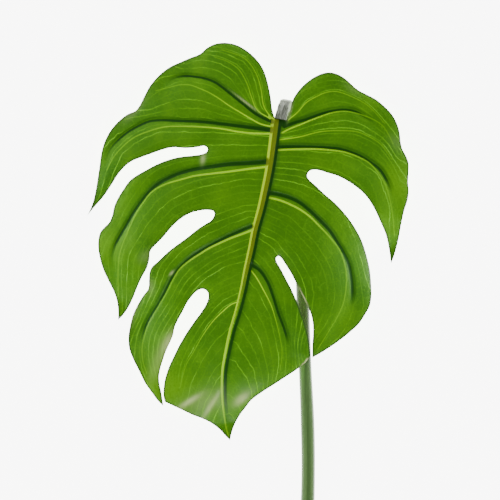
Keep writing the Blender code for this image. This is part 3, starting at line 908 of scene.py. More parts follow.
# Half width of each crease at the midrib and at its far end, and the shares of its length between
# which it fades. The left end vein is printed alone, without a crease.
CREASE_FORMS: dict[str, tuple[float, float, float, float]] = {
    "left_basal": (1.3 * MM, 0.8 * MM, 0.85, 1.0), "left_upper": (1.6 * MM, 0.65 * MM, 0.84, 1.0),
    "left_middle": (1.85 * MM, 0.85 * MM, 0.84, 0.96),
    "left_lower": (1.2 * MM, 0.9 * MM, 0.77, 0.87),
    "right_basal": (1.3 * MM, 0.9 * MM, 0.8, 1.0), "right_upper": (1.3 * MM, 0.95 * MM, 0.73, 0.83),
    "right_lower": (1.5 * MM, 0.95 * MM, 0.77, 0.85),
    "right_end": (1.3 * MM, 0.85 * MM, 0.78, 0.88),
}

# Half width of each bright vein at the midrib and at its far end, and the share of its length by
# which it has faded
BRIGHT_FORMS: dict[str, tuple[float, float, float]] = {
    "left_basal": (0.6 * MM, 0.35 * MM, 0.9), "left_upper": (0.85 * MM, 0.35 * MM, 1.0),
    "left_middle": (0.95 * MM, 0.35 * MM, 0.8), "left_lower": (0.85 * MM, 0.35 * MM, 0.65),
    "left_end": (0.45 * MM, 0.28 * MM, 0.7), "right_basal": (0.6 * MM, 0.35 * MM, 0.8),
    "right_upper": (0.75 * MM, 0.4 * MM, 0.75), "right_lower": (0.85 * MM, 0.35 * MM, 0.5),
    "right_end": (0.55 * MM, 0.3 * MM, 0.75),
}

# The lesser veins that show plainly in the basal lobes
LESSER_VEINS: dict[str, Points] = {
    "left_outer": [(272, 119), (264, 107), (261, 90), (257, 76), (250, 64), (242, 57), (222, 50)],
    "left_inner": [(270, 119), (257, 110), (251, 96), (247, 84), (239, 70), (228, 62), (214, 57)],
    "right_outer": [
        (287, 121), (297, 113), (306, 103), (316, 97), (325, 93), (336, 91.7), (352, 97),
        (368, 106), (385, 124),
    ],
    "right_inner": [
        (280, 140), (300, 137), (320, 132), (340, 130.8), (357, 132), (366, 135.5), (380, 144),
        (392, 160),
    ],
}

# The lines that the fine veins fan out between, from the notch round to the tip, with the number
# of fine veins after each
LEFT_FAN: list[tuple[Points, int]] = [
    (LESSER_VEINS["left_outer"] + [(205, 48)], 2),
    (LESSER_VEINS["left_inner"] + [(198, 56), (186, 61)], 3),
    (CREASES["left_basal"] + [(156, 88), (146, 97)], 5),
    (CREASES["left_upper"] + [(97, 190), (89, 212)], 7),
    (CREASES["left_middle"] + [(117, 310)], 10),
    (CREASES["left_lower"] + [(158, 398)], 11),
    (BRIGHT_VEINS["left_end"] + [(176, 403)], 10),
    (MIDRIB, 1),
]
RIGHT_FAN: list[tuple[Points, int]] = [
    (LESSER_VEINS["right_outer"] + [(398, 141)], 3),
    (CREASES["right_basal"] + [(388, 134), (400, 152)], 3),
    (LESSER_VEINS["right_inner"] + [(403, 180)], 4), (CREASES["right_upper"] + [(392, 255)], 8),
    (CREASES["right_lower"] + [(318, 350)], 12),
    ([(222, 246), (238, 257)] + BRIGHT_VEINS["right_end"] + [(278, 381)], 10),
    (MIDRIB, 1),
]


@dataclass(frozen=True)
class Patch:
    """A cloudy patch on the blade: its middle on the grid, its reach along and across, its strength.

    A long patch leans up to the right by `lean` degrees. `tilt` is the slope that it adds to the blade
    across its length, which turns its gloss to the light.
    """

    middle: tuple[float, float]
    reach: float
    strength: float
    breadth: float | None = None
    lean: float = 0.0
    tilt: float = 0.0

    def read(self, points: np.ndarray) -> tuple[np.ndarray, np.ndarray]:
        """Measures points against the patch.

        Args:
            points: Plan points in metres.

        Returns:
            The patch's shape, from 0 to 1, and the distance across its length, at each point.
        """
        angle = math.radians(self.lean)
        offset = points - PLAN.place([self.middle])[0]
        along = offset @ (math.cos(angle), math.sin(angle))
        across = offset @ (-math.sin(angle), math.cos(angle))
        breadth = self.breadth or self.reach
        return hill(along, self.reach) * hill(across, breadth), across


# Lighter patches: partly the leaf's own fresher green, partly painted light, such as the pale painted sheen
# inside the lower left lobe
FRESH_AND_LIT_PATCHES: dict[str, Patch] = {
    "right_shoulder": Patch((400, 185), 15 * MM, 0.95),
    "right_upper_lobe": Patch((390, 225), 12 * MM, 0.5),
    "middle_left_lobe": Patch((106, 244), 12 * MM, 0.8),
    "lower_left_inside": Patch((163, 358), 20 * MM, 0.9, 6 * MM, 70),
    "lower_left_lobe": Patch((152, 380), 10 * MM, 0.5),
    "end_lobe_corner": Patch((174, 388), 14 * MM, 0.85),
    "end_lobe": Patch((215, 400), 16 * MM, 0.4),
    "heart": Patch((235, 140), 16 * MM, 0.35),
    "below_heart": Patch((220, 192), 12 * MM, 0.3),
    "above_right_slit": Patch((315, 163), 12 * MM, 0.35),
    "middle_left_shoulder": Patch((121, 207), 8 * MM, 0.35),
}
# Patches of painted shade, where the blade is darker
SHADED_PATCHES: dict[str, Patch] = {
    "left_rim": Patch((134, 112), 12 * MM, 0.7, 6 * MM, 40),
    "upper_left_lobe": Patch((112, 172), 14 * MM, 0.85, 8 * MM, 60),
    "lower_left_lobe": Patch((165, 322), 9 * MM, 0.5),
    "below_lower_left_vein": Patch((215, 268), 10 * MM, 0.35),
    "right_low": Patch((336, 266), 10 * MM, 0.4),
    "right_edge": Patch((363, 294), 9 * MM, 0.5),
    "right_top": Patch((337, 83), 8 * MM, 0.45),
    "upper_left_tip": Patch((95, 196), 12 * MM, 0.6),
    "lower_left_shoulder": Patch((151, 274), 9 * MM, 0.9, 6 * MM, 60),
    "beside_hub": Patch((290, 176), 10 * MM, 0.5),
    "beside_midrib": Patch((280, 208), 8 * MM, 0.4),
    "end_lobe_right": Patch((302, 345), 9 * MM, 0.5),
    "right_shoulder": Patch((392, 148), 9 * MM, 0.5),
    "middle_left_corner": Patch((152, 245), 7 * MM, 0.5),
}
GLOSSY_PATCHES: dict[str, Patch] = {
    "end_left": Patch((189, 400), 9 * MM, 0.8, 2.4 * MM, 32, 0.12),
    "end_middle": Patch((213, 402), 11 * MM, 0.8, 2.4 * MM, 58, 0.03),
    "end_right": Patch((242, 399), 7 * MM, 0.8, 3.4 * MM, 40, -0.16),
    "lower_left_inside": Patch((166, 343), 9 * MM, 0.8, 4 * MM, 65, 0.1),
}
# Streaks and spots of painted sheen, laid on in pale colour: painted highlights on the end lobe, the crease
# lips and the slit edges, and painted reflections on rims that fall away
PAINTED_SHEEN_PATCHES: dict[str, Patch] = {
    "basal_lip": Patch((246.0, 102.8), 10 * MM, 0.55, 0.65 * MM, -38),
    "right_lip": Patch((290.2, 112), 6 * MM, 0.45, 0.8 * MM, 75),
    "end_left": Patch((189.5, 401.5), 9 * MM, 0.5, 2.0 * MM, 32),
    "end_middle": Patch((211, 405.5), 11 * MM, 0.4, 1.6 * MM, 58),
    "end_right": Patch((241.5, 399), 6.5 * MM, 0.45, 3.0 * MM, 40),
    "slit_edge": Patch((303, 296.5), 7 * MM, 1.0, 0.5 * MM, -64),
    "end_edge": Patch((305.5, 361.8), 4 * MM, 1.0, 0.45 * MM, 44),
    "end_haze": Patch((205, 402), 16 * MM, 0.12, 8 * MM, 10),
    "upper_left_rim": Patch((134, 111), 10 * MM, 0.12, 3 * MM, 50),
    "right_top_rim": Patch((352, 89), 8 * MM, 0.06, 3 * MM, -35),
    "right_shoulder": Patch((396, 143), 7 * MM, 0.06, 4 * MM, -60),
    "lower_left_rim": Patch((131, 318), 14 * MM, 0.1, 3 * MM, 69),
    "lower_left_shoulder": Patch((151, 287), 6 * MM, 0.1, 3 * MM, 90),
    "middle_left_corner": Patch((146, 256), 6 * MM, 0.1, 4 * MM, 45),
    "lower_left_inside": Patch((168, 342), 8 * MM, 0.4, 3 * MM, 65),
    "slit_end": Patch((203, 159), 3.8 * MM, 0.45, 1.8 * MM, 80),
    "lower_left_vein": Patch((171.6, 273), 2.2 * MM, 0.6, 0.8 * MM, 50),
    "lower_left_band": Patch((160, 358), 16 * MM, 0.16, 5 * MM, 70),
}


@dataclass
class Blade:
    """The blade: one arched sheet with slits, sunk creases, a raised midrib and ribs beneath.

    Lengths are in metres, but a gap is a share of the mesh's step. The arch, the creases and the ribs
    are those of the solid, drawn finer. The first counts settle the strength of each fine vein.
    """

    mesh_step: float = 1.15 * MM
    row_height: float = math.sqrt(0.75)
    rim_gap: float = 0.7
    vein_gap: float = 0.6
    vein_step: float = 0.75
    vein_rim_gap: float = 0.6
    between_veins_gap: float = 0.5
    thickness: float = 0.8 * MM
    crown_height: float = 33 * MM
    crown_place: tuple[float, float] = (262.0, 205.0)
    arch_across: float = 1.43
    arch_towards_tip: float = 0.82
    arch_towards_notch: float = 1.2
    resting_tips: tuple[tuple[float, float], ...] = (
        (87.5, 215), (118, 320), (230, 440.5), (391.3, 263.5),
    )
    droop_reach: float = 32 * MM
    tip_press: float = 3.0 * MM
    rest_softness: float = 2.0 * MM
    quilt_height: float = 1.4 * MM
    quilt_reach: float = 8.0 * MM
    crease_depth: float = 0.9 * MM
    crease_width: float = 1.5 * MM
    bright_rise: float = 0.3 * MM
    bright_rise_width: float = 1.2
    bright_end_strength: float = 0.38
    bright_fade_start: float = 0.2
    lesser_widths: tuple[float, float] = (0.5 * MM, 0.32 * MM)
    lesser_strengths: tuple[float, float] = (0.9, 0.3)
    crease_shift: float = 0.3 * MM
    # The band of painted shade on the upper bank of each crease: its shift towards the notch and its widening
    bank_shade_shift: float = 1.7 * MM
    bank_shade_widening: float = 1.1
    open_from_mm: float = 1.3
    open_over_mm: float = 1.5
    edge_curl: float = 1.6 * MM
    edge_curl_reach: float = 5.0 * MM
    wave_height: float = 1.4 * MM
    wave_reach: float = 14.0 * MM
    wave_length: float = 75 * MM
    wave_start: tuple[float, float] = (276.0, 118.0)
    wave_phases: tuple[float, float] = (0.6, 1.9)
    midrib_half_width: float = 2.7 * MM
    midrib_narrowing: float = 0.75
    # Middle of the painted shadow in the notch beside the midrib's foot
    hub_shadow_place: tuple[float, float] = (282.5, 122.5)
    outer_reach: tuple[float, float] = (0.125, 0.165)
    outer_pitch: float = 3.5 * MM
    first_count_left: int = 5
    first_count_right: int = 102
    rib_taper: float = 0.8
    rib_rise: float = 1.3 * MM
    rib_half_width: float = 2.4 * MM
    groove_offset: float = 4.3 * MM
    groove_depth: float = 0.7 * MM
    groove_half_width: float = 1.5 * MM
    under_rib_depth: float = 4.2 * MM
    under_rib_half_width: float = 3.4 * MM
    under_rib_fade: float = 1.5
    side_rib_depth: float = 1.3 * MM
    side_rib_half_width: float = 1.6 * MM
    outline: np.ndarray = field(init=False)
    points: np.ndarray = field(init=False)
    triangles: list[tuple[int, int, int]] = field(init=False)

    def __post_init__(self) -> None:
        """Draws the outline and splits the plan into even triangles."""
        runs = [smooth_line(run, self.mesh_step)[:-1] for run in OUTLINE_RUNS.values()]
        self.outline = np.vstack(runs)
        low, high = self.outline.min(axis=0), self.outline.max(axis=0)
        rows = np.arange(low[1], high[1], self.mesh_step * self.row_height)
        columns = np.arange(low[0], high[0], self.mesh_step)
        grid = [
            (x + self.mesh_step / 2 * (row % 2), y) for row, y in enumerate(rows) for x in columns
        ]
        grid = np.array(grid)
        grid = grid[within(grid, self.outline)]
        drawn = self.along_veins()
        rim_distance = read_line(self.outline, grid, closed=True).distance
        grid = grid[rim_distance > self.rim_gap * self.mesh_step]
        for line in drawn:
            grid = grid[read_line(line, grid).distance > self.vein_gap * self.mesh_step]
        plan = np.vstack([self.outline, *drawn, grid])
        rim = len(self.outline)
        edges = [(i, (i + 1) % rim) for i in range(rim)]
        corners, _, triangles, *_ = delaunay_2d_cdt(
            [Vector(point) for point in plan], edges, [], 0, SAME_POINT, False
        )
        self.points = np.array(corners)
        middles = self.points[np.array(triangles)].mean(axis=1)
        kept = within(middles, self.outline)
        self.triangles = [tuple(t) for t, keep in zip(triangles, kept) if keep]

    def along_veins(self) -> list[np.ndarray]:
        """Points along the bright veins, close enough that the mesh's edges follow them."""
        lines: list[np.ndarray] = []
        for course in [*BRIGHT_VEINS.values(), *LESSER_VEINS.values()]:
            line = smooth_line(course, self.vein_step * self.mesh_step)
            line = line[within(line, self.outline)]
            rim_distance = read_line(self.outline, line, closed=True).distance
            clear = rim_distance > self.vein_rim_gap * self.mesh_step
            for other in lines:
                clear &= read_line(other, line).distance > self.between_veins_gap * self.mesh_step
            lines.append(line[clear])
        return lines

    def arch(self, across: np.ndarray, along: np.ndarray) -> np.ndarray:
        """The height of the plain arch at an offset from its crown."""
        bend = np.where(along > 0, self.arch_towards_notch, self.arch_towards_tip)
        return self.crown_height - self.arch_across * across**2 - bend * along**2

    def surfaces(self, marks: dict[str, np.ndarray]) -> tuple[np.ndarray, np.ndarray]:
        """Works out the heights of the face and of the underside over each plan point.

        Args:
            marks: The attributes of the plan points, from `readings`.

        Returns:
            The heights of the face and those of the underside, in metres.
        """
        crown = PLAN.place([self.crown_place])[0]
        face = self.arch(*(self.points - crown).T)
        for tip in self.resting_tips:
            place = PLAN.place([tip])[0]
            height = self.arch(*(place - crown))
            distance = np.linalg.norm(self.points - place, axis=1)
            face -= (height + self.tip_press) * hill(distance, self.droop_reach)

        to_edge = marks["rim"] * MM
        share = marks["midrib_share"]
        to_rib = np.abs(marks["midrib_distance"])
        taper = 1 - self.rib_taper * share
        face += self.quilt_height * (1 - hill(marks["fold_distance"], self.quilt_reach))
        pressed = hill(marks["crease_distance"], self.crease_width) * marks["crease_strength"]
        face -= self.crease_depth * pressed
        raised = hill(marks["bright"], self.bright_rise_width) * marks["bright_strength"]
        face += self.bright_rise * raised
        face -= self.edge_curl * np.exp(-to_edge / self.edge_curl_reach)
        turns = TURN / self.wave_length * (self.points - PLAN.place([self.wave_start])[0])
        wave = np.sin(turns + self.wave_phases).prod(axis=1)
        face += self.wave_height * wave * np.exp(-to_edge / self.wave_reach)
        for patch in GLOSSY_PATCHES.values():
            shape, across = patch.read(self.points)
            face += patch.tilt * across * shape
        face += self.rib_rise * hill(to_rib, self.rib_half_width) * taper
        from_groove = marks["midrib_distance"] - self.groove_offset * taper
        face -= self.groove_depth * hill(from_groove, self.groove_half_width) * taper

        side_rib = hill(marks["crease_distance"], self.side_rib_half_width)
        depth = self.thickness + self.side_rib_depth * side_rib * marks["crease_strength"]
        under = self.under_rib_depth * hill(to_rib, self.under_rib_half_width)
        under *= np.clip(1 - share, 0, 1) ** self.under_rib_fade
        depth = np.maximum(depth, self.thickness + under)
        hang = face - depth
        underside = (hang + np.hypot(hang, self.rest_softness)) / 2
        underside -= underside.min()
        return underside + depth, underside

    def nearest_vein(self, veins: list[Vein]) -> tuple[np.ndarray, np.ndarray, np.ndarray]:
        """Measures the plan points against the nearest of several veins.

        Args:
            veins: The veins.

        Returns:
            The distance in half widths, the strength there, and the distance in metres.
        """
        reach = np.full(len(self.points), np.inf)
        strength = np.zeros(len(self.points))
        distance = np.full(len(self.points), np.inf)
        for vein in veins:
            widths, power, gap = vein.read(self.points)
            closer = widths < reach
            reach[closer] = widths[closer]
            strength[closer] = power[closer]
            distance = np.minimum(distance, gap)
        return reach, strength, distance

    def fan(self, lines: list[tuple[Points, int]], notch_side: float) -> tuple[np.ndarray, np.ndarray]:
        """Counts the fine veins across one half of the blade.

        Args:
            lines: The lines that they fan out between, each with the number of veins after it.
            notch_side: 1 where the notch lies to the left of the lines, and -1 to the right.

        Returns:
            The running count of fine veins at each point, and the pitch between them in mm.
        """
        readings = [read_line(smooth_line(course, FAN_STEP), self.points) for course, _ in lines]
        past = np.array([reading.side * notch_side < 0 for reading in readings])
        gaps = np.array([reading.distance for reading in readings])
        index = np.clip(past.sum(axis=0) - 1, -1, len(lines) - 2)
        first = np.maximum(index, 0)
        counts = np.array([count for _, count in lines])
        before = np.concatenate([[0], np.cumsum(counts)])
        every = np.arange(len(self.points))
        near = gaps[first, every]
        far = gaps[np.minimum(index + 1, len(lines) - 1), every]
        share = near / np.maximum(near + far, SMALLEST_GAP)
        running = before[first] + counts[first] * share
        pitch = (near + far) / counts[first]
        running = np.where(index < 0, -gaps[0] / self.outer_pitch, running)
        pitch = np.where(index < 0, self.outer_pitch, pitch)
        end = index == len(lines) - 2
        scale, end_pitch = self.pinnate(*lines[-2])
        running = np.where(end, before[-3] + counts[-2] * (1 - scale), running)
        pitch = np.where(end, end_pitch, pitch)
        return running + 0.5, pitch / MM

    def pinnate(self, course: Points, count: int) -> tuple[np.ndarray, np.ndarray]:
        """Reads the fine veins of the end lobe, each the last side vein drawn smaller towards the tip.

        Args:
            course: The last side vein.
            count: How many fine veins there are towards the tip.

        Returns:
            The scale of the vein that passes through each point, and the pitch there in metres.
        """
        tip = PLAN.place([PLAN.end_tip])[0]
        line = smooth_line(course, FAN_STEP) - tip
        bearing = np.arctan2(line[:, 0], line[:, 1])
        order = np.argsort(bearing)
        bearing, reach = bearing[order], np.linalg.norm(line, axis=1)[order]
        slope = np.gradient(reach, bearing)
        own = self.points - tip
        own_bearing = np.arctan2(own[:, 0], own[:, 1])
        own_reach = np.interp(own_bearing, bearing, reach)
        own_slope = np.interp(own_bearing, bearing, slope)
        scale = np.linalg.norm(own, axis=1) / own_reach
        return scale, own_reach / count / np.sqrt(1 + (own_slope / own_reach) ** 2)

    def cloud(self, patches: dict[str, Patch]) -> np.ndarray:
        """The strength of a set of patches at each point, from 0 to 1."""
        shapes = [patch.strength * patch.read(self.points)[0] for patch in patches.values()]
        return np.clip(sum(shapes), 0, 1)

    def readings(self) -> dict[str, np.ndarray]:
        """Measures every plan point for the relief and for the finishes.

        Returns:
            The attributes by name. `rim` and `fan_pitch` are in mm, `midrib`, `crease` and
            `bright` in half widths of their lines, and those ending in `_distance` in metres.
        """
        marks: dict[str, np.ndarray] = {}
        marks["rim"] = read_line(self.outline, self.points, closed=True).distance / MM
        rib = read_line(smooth_line(MIDRIB, LINE_STEP), self.points)
        marks["midrib_share"] = rib.share
        marks["midrib_distance"] = rib.signed
        half_width = self.midrib_half_width * (1 - self.midrib_narrowing * rib.share)
        marks["midrib"] = rib.signed / half_width
        marks["beyond_midrib"] = (rib.signed - half_width) / MM

        left = rib.side < 0
        creases, bank_shades = [], []
        for name, (*widths, fade_start, fade_end) in CREASE_FORMS.items():
            course = CREASES[name]
            notch_side = 1 if name.startswith("right") else -1
            fall, rise = notch_side * self.crease_shift, notch_side * self.bank_shade_shift
            fade = (1.0, 0.0, fade_start, fade_end)
            creases.append(Vein(course, *widths, *fade, -fall))
            # The second line of each crease carries the band of painted shade on its upper bank
            bank_shades.append(Vein(course, *(self.bank_shade_widening * width for width in widths), *fade, rise))
        reach, strength, distance = self.nearest_vein(creases)
        marks["crease"], marks["crease_strength"] = reach, strength
        marks["crease_distance"] = distance
        marks["bank_shade"], marks["bank_shade_strength"], _ = self.nearest_vein(bank_shades)
        marks["fold_distance"] = np.minimum(distance, rib.distance)
        marks["open"] = np.clip((distance / MM - self.open_from_mm) / self.open_over_mm, 0, 1)

        fade = (1.0, self.bright_end_strength, self.bright_fade_start)
        brights = [
            Vein(BRIGHT_VEINS[name], *widths, *fade, faded)
            for name, (*widths, faded) in BRIGHT_FORMS.items()
        ]
        form = (*self.lesser_widths, *self.lesser_strengths)
        lesser = [Vein(course, *form) for course in LESSER_VEINS.values()]
        marks["bright"], marks["bright_strength"], _ = self.nearest_vein(brights + lesser)

        left_count, left_pitch = self.fan(LEFT_FAN, -1.0)
        right_count, right_pitch = self.fan(RIGHT_FAN, 1.0)
        first = np.where(left, self.first_count_left, self.first_count_right)
        marks["fan"] = np.where(left, left_count, right_count) + first
        marks["fan_pitch"] = np.where(left, left_pitch, right_pitch)
        hub_shadow = PLAN.place([self.hub_shadow_place])[0]
        marks["hub_shadow"] = np.linalg.norm(self.points - hub_shadow, axis=1) / MM
        crown = PLAN.place([self.crown_place])[0]
        spread = np.linalg.norm((self.points - crown) / self.outer_reach, axis=1)
        marks["outward"] = np.clip(spread, 0, 1)
        clouds = {
            "fresh_and_lit": FRESH_AND_LIT_PATCHES, "shaded": SHADED_PATCHES, "gloss": GLOSSY_PATCHES, "painted_sheen": PAINTED_SHEEN_PATCHES,
        }
        marks.update({name: self.cloud(patches) for name, patches in clouds.items()})
        return marks

    def build(self) -> bpy.types.Object:
        """Builds the blade as one closed mesh with its three finishes."""
        marks = self.readings()
        face, underside = self.surfaces(marks)
        count = len(self.points)
        sides = {(t[i], t[(i + 1) % 3]) for t in self.triangles for i in range(3)}
        rim = sorted(side for side in sides if side[::-1] not in sides)
        corners = np.vstack([
            np.column_stack([self.points, face]), np.column_stack([self.points, underside]),
        ])
        faces = list(self.triangles)
        faces += [tuple(count + i for i in reversed(triangle)) for triangle in self.triangles]
        faces += [(b, a, count + a, count + b) for a, b in rim]
        mesh = bpy.data.meshes.new("monstera_blade")
        mesh.from_pydata(corners.tolist(), [], faces)
        for name in (mark for mark in marks if not mark.endswith("_distance")):
            layer = mesh.attributes.new(name, "FLOAT", "POINT")
            layer.data.foreach_set("value", np.tile(marks[name], 2).astype(np.float32))
        for finish in (LeafFaceFinish(), LeafUndersideFinish(), LeafEdgeFinish()):
            mesh.materials.append(finish.material())
        kinds = [Side.FACE.value] * len(self.triangles)
        kinds += [Side.UNDERSIDE.value] * len(self.triangles) + [Side.EDGE.value] * len(rim)
        mesh.polygons.foreach_set("material_index", kinds)
        mesh.shade_smooth()
        mesh.set_sharp_from_angle(angle=SHARP_ANGLE)
        return settle("monstera_blade", mesh, "leaf_blade")


@dataclass
class Bar:
    """A round bar along an axis, with its own coordinates in the mesh for patterns that follow it."""

    axis: np.ndarray
    radii: np.ndarray
    sides: int = 48

    def mesh(self, name: str) -> bpy.types.Mesh:
        """Builds the bar's closed mesh.

        Args:
            name: The name of the mesh.

        Returns:
            The mesh, with its place round and along the bar in the attribute `wrap`.
        """
        along = np.gradient(self.axis, axis=0, edge_order=2)
        along /= np.linalg.norm(along, axis=1)[:, None]
        steps = np.linalg.norm(np.diff(self.axis, axis=0), axis=1)
        run = np.concatenate([[0], np.cumsum(steps)])
        up = np.array((0.0, 0.0, 1.0))
        corners, wraps = [], []
        for centre, direction, radii, passed in zip(self.axis, along, self.radii, run):
            up = up - direction * (up @ direction)
            up /= np.linalg.norm(up)
            across = np.cross(direction, up)
            for k in range(self.sides):
                angle = TURN * k / self.sides
                radius = radii if np.isscalar(radii) else radii[k]
                corners.append(centre + radius * (math.cos(angle) * up + math.sin(angle) * across))
                wraps.append((radius * math.cos(angle), radius * math.sin(angle), passed))
        faces = []
        for ring in range(len(self.axis) - 1):
            for k in range(self.sides):
                a, b = ring * self.sides + k, ring * self.sides + (k + 1) % self.sides
                faces.append((a, b, b + self.sides, a + self.sides))
        last = (len(self.axis) - 1) * self.sides
        faces.append(tuple(reversed(range(self.sides))))
        faces.append(tuple(range(last, last + self.sides)))
        mesh = bpy.data.meshes.new(name)
        mesh.from_pydata([tuple(corner) for corner in corners], [], faces)
        layer = mesh.attributes.new("wrap", "FLOAT_VECTOR", "POINT")
        layer.data.foreach_set("vector", np.array(wraps, dtype=np.float32).ravel())
        mesh.shade_smooth()
        mesh.set_sharp_from_angle(angle=SHARP_ANGLE)
        return mesh


@dataclass
class Knee:
    """The knee: a dry grey sheath bent over from the stalk into the midrib, with cross folds.

    Its twist is in degrees. Its grain stands up in a few long, faint ridges that turn as they run.
    """

    start: tuple[float, float] = (286.3, 118.8)
    end: tuple[float, float] = (280.3, 119.4)
    diameter: float = 9.0 * MM
    squareness: float = 8.0
    twist: float = 13.0
    waist: float = 0.9
    reach: float = 10.6 * MM
    lean: float = 1.2 * MM
    bend_radius: float = 9.0 * MM
    axis_height: float = 26.5 * MM
    rings: int = 90
    sides: int = 56
    folds: int = 7
    fold_depth: float = 0.22 * MM
    fold_waviness: float = 0.5
    outer_fold_share: float = 0.35
    drift: float = 1.5
    grain_height: float = 0.12 * MM
    grain_ridges: int = 5
    grain_phase: float = 1.3
    grain_run: float = 9.0

    def build(self) -> bpy.types.Object:
        """Builds the knee along a half circle that stands on edge."""
        start, end = PLAN.place([self.start, self.end])
        share = np.linspace(0, 1, self.rings)
        turn = math.pi * share
        x = start[0] + (end[0] - start[0]) * share**self.drift + self.lean * np.sin(turn) ** 2
        y = start[1] + (end[1] - start[1]) * share + self.reach * np.sin(turn)
        z = self.axis_height - self.bend_radius * (1 + np.cos(turn))
        around = TURN * np.arange(self.sides) / self.sides
        inner = 0.5 - 0.5 * np.cos(around)
        power = self.squareness
        turned = around + math.radians(self.twist)
        square = (np.abs(np.cos(turned)) ** power + np.abs(np.sin(turned)) ** power) ** (-1 / power)
        bent = np.sin(turn)[:, None]
        radii = self.diameter / 2 * (1 + (square[None] * self.waist - 1) * bent)
        phase = TURN * self.folds * share[:, None] + self.fold_waviness * np.sin(2 * around)[None]
        swell = bent * (self.outer_fold_share + (1 - self.outer_fold_share) * inner[None])
        radii += self.fold_depth * np.sin(phase) * swell
        grain = np.sin(self.grain_ridges * around + self.grain_phase)[None]
        radii += self.grain_height * grain * np.cos(self.grain_run * share[:, None])
        mesh = Bar(np.column_stack([x, y, z]), radii, self.sides).mesh("knee_sheath")
        mesh.materials.append(KneeFinish().material())
        return settle("knee_sheath", mesh, "leaf_knee")


@dataclass
class Stalk:
    """The stalk: a round satin stem that lies on the table and lifts towards the knee.

    A ridge form is its height, how many there are round the stem, and their phase. An inset of the
    cut end is its width and its rise.
    """

    course: tuple[tuple[float, float], ...] = (
        (286.3, 118.5), (287.4, 128), (289, 136), (292.5, 154), (297, 200), (300, 250),
        (302.3, 290), (303.6, 330), (305.2, 369), (307.3, 416), (308.2, 455), (307.9, 493),
        (306, 540), (302, 590),
    )
    cut_x: float = 297.0
    total_length: float = 450 * MM
    lift_start: float = 255.0
    diameter_at_knee: float = 9.0 * MM
    diameter_at_cut: float = 12.0 * MM
    knee_foot_height: float = 8.5 * MM
    ridge_forms: tuple[tuple[float, int, float], ...] = ((0.06 * MM, 7, 0.8), (0.04 * MM, 12, 0.0))
    swell_height: float = 0.10 * MM
    swell_length: float = 85 * MM
    inside_solid: float = 0.14 * MM
    insets: tuple[tuple[float, float], ...] = (
        (0.7 * MM, 0.0), (0.4 * MM, -0.35 * MM), (1.8 * MM, 0.15 * MM),
    )
    ring_step: float = 3 * MM
    sides: int = 56

    def build(self) -> bpy.types.Object:
        """Builds the stalk and dresses its skin and its cut end."""
        cut_y = PLAN.top + self.total_length / PLAN.step
        line = smooth_line([*self.course, (self.cut_x, cut_y)], self.ring_step)
        share = np.linspace(0, 1, len(line))
        growth = (self.diameter_at_cut - self.diameter_at_knee) / 2
        radii = self.diameter_at_knee / 2 + growth * share
        lift_y = PLAN.place([(0, self.lift_start)])[0, 1]
        climb = np.clip((line[:, 1] - lift_y) / (line[0, 1] - lift_y), 0, 1)
        heights = radii + (self.knee_foot_height - radii) * climb**2 * (3 - 2 * climb)
        axis = np.column_stack([line, heights])
        around = TURN * np.arange(self.sides) / self.sides
        ridges = sum(rise * np.sin(count * around + phase) for rise, count, phase in self.ridge_forms)
        swell = self.swell_height * np.sin(TURN * line[:, 1] / self.swell_length)
        rings = radii[:, None] + ridges[None] + swell[:, None] - self.inside_solid
        mesh = Bar(axis, rings, self.sides).mesh("stalk_stem")
        for finish in (StalkFinish(), StalkCutFinish()):
            mesh.materials.append(finish.material())
        mesh.polygons[len(mesh.polygons) - 1].material_index = 1
        stem = settle("stalk_stem", mesh, "leaf_stem")
        self.hollow_the_cut(stem)
        return stem

    def hollow_the_cut(self, stem: bpy.types.Object) -> None:
        """Insets the cut end, so that the rind stands round slightly sunk pith.

        Args:
            stem: The stalk, whose last face is its cut end.
        """
        bpy.ops.object.select_all(action="DESELECT")
        bpy.context.view_layer.objects.active = stem
        stem.select_set(True)
        for face in stem.data.polygons:
            face.select = face.index == len(stem.data.polygons) - 1
        bpy.ops.object.mode_set(mode="EDIT")
        bpy.ops.mesh.select_mode(type="FACE")
        for width, rise in self.insets:
            bpy.ops.mesh.inset(thickness=width, depth=rise)
        bpy.ops.object.mode_set(mode="OBJECT")
        stem.select_set(False)


def settle(name: str, mesh: bpy.types.Mesh, node: str) -> bpy.types.Object:
    """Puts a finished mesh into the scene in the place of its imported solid.

    Args:
        name: The name of the piece.
        mesh: Its mesh, in metres in the frame.
        node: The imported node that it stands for.

    Returns:
        The piece.
    """
    piece = bpy.data.objects.new(name, mesh)
    bpy.context.scene.collection.objects.link(piece)
    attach(piece, "root")
    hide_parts(node)
    return piece


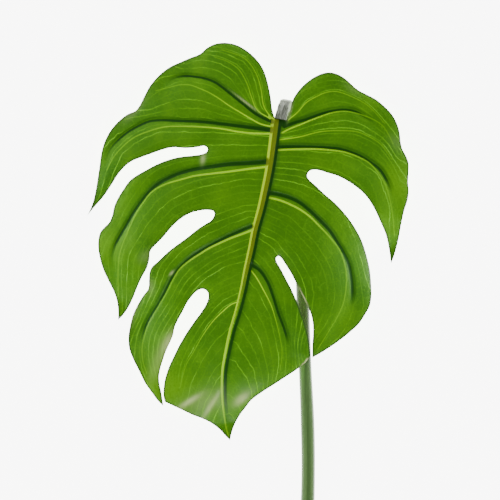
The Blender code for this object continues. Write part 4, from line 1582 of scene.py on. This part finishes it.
@dataclass
class Studio:
    """The white floor, the soft lights and the camera straight above the leaf.

    Each light has its name, its place and its width in metres, and its power in watts. The key light
    hangs up and to the left of the leaf, the fill light to the right and the foot light at the tip.
    """

    floor_width: float = 60.0
    camera_height: float = 8.0
    focus_height: float = 10 * MM
    picture_width: float = 500.0
    sensor: float = 36.0
    horizon_strength: float = 1.0
    zenith_strength: float = 0.3
    horizon_rise: float = 0.3
    zenith_rise: float = 0.93
    view_depth: float = 120.0
    lights: tuple[tuple[str, tuple[float, float, float], float, float], ...] = (
        ("key_light", (-1.6, 1.1, 1.5), 2.4, 25),
        ("fill_light", (1.8, 0.1, 1.4), 2.4, 13),
        ("foot_light", (-0.02, -1.55, 1.25), 0.45, 19),
    )
    light_target: tuple[float, float, float] = (0.0, 0.08, 0.0)

    def build(self) -> None:
        """Builds the floor, the lights and the camera."""
        self.lay_floor()
        self.hang_lights()
        self.set_camera()

    def lay_floor(self) -> None:
        """Lays the floor at the height of the table."""
        bpy.ops.object.select_all(action="DESELECT")
        bpy.ops.mesh.primitive_plane_add(size=self.floor_width, location=(0, 0, 0))
        floor = bpy.context.object
        floor.name = "studio_floor"
        floor.data.materials.append(FloorFinish().material())

    def hang_lights(self) -> None:
        """Hangs the lights, and lights the room from a bright horizon to a dimmer zenith."""
        for light in self.lights:
            self.light(*light)
        world = bpy.data.worlds.new("studio_world")
        world.use_nodes = True
        tree = world.node_tree
        way = add_node(tree, "ShaderNodeTexCoord").outputs["Generated"]
        rise = add_node(tree, "ShaderNodeSeparateXYZ", {"Vector": way}).outputs["Z"]
        ends = {"To Min": self.horizon_strength, "To Max": self.zenith_strength}
        ramp = {"Value": rise, "From Min": self.horizon_rise, "From Max": self.zenith_rise, **ends}
        strength = add_node(tree, "ShaderNodeMapRange", ramp, interpolation_type="SMOOTHSTEP")
        tree.links.new(strength.outputs[0], tree.nodes["Background"].inputs["Strength"])
        tree.nodes["Background"].inputs["Color"].default_value = (1.0, 1.0, 1.0, 1.0)
        bpy.context.scene.world = world

    def light(self, name: str, place: tuple[float, float, float], width: float, power: float) -> None:
        """Hangs one square soft light that faces the leaf.

        Args:
            name: The light's name.
            place: Where it hangs, in metres.
            width: The width of its face in metres.
            power: Its power in watts.
        """
        lamp = bpy.data.lights.new(name, "AREA")
        lamp.size = width
        lamp.energy = power
        holder = bpy.data.objects.new(name, lamp)
        holder.location = place
        aim = Vector(self.light_target) - Vector(place)
        holder.rotation_euler = aim.to_track_quat("-Z", "Y").to_euler()
        bpy.context.scene.collection.objects.link(holder)

    def set_camera(self) -> None:
        """Sets the camera straight above the middle of the picture, with a long lens."""
        middle = PLAN.place([(self.picture_width / 2, self.picture_width / 2)])[0]
        shown = self.picture_width * PLAN.step
        distance = self.camera_height - self.focus_height
        data = bpy.data.cameras.new("camera")
        data.sensor_width = self.sensor
        data.lens = self.sensor * distance / shown
        data.clip_end = self.view_depth
        camera = bpy.data.objects.new("camera", data)
        camera.location = (middle[0], middle[1], self.camera_height)
        bpy.context.scene.collection.objects.link(camera)
        bpy.context.scene.camera = camera


def main() -> None:
    """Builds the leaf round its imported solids, then the studio."""
    logging.basicConfig(level=logging.INFO)
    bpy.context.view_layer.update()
    for sub_assembly in (Blade(), Knee(), Stalk()):
        piece = sub_assembly.build()
        LOG.info("%s: %d faces", piece.name, len(piece.data.polygons))
    Studio().build()
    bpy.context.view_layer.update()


if __name__ == "__main__":
    main()
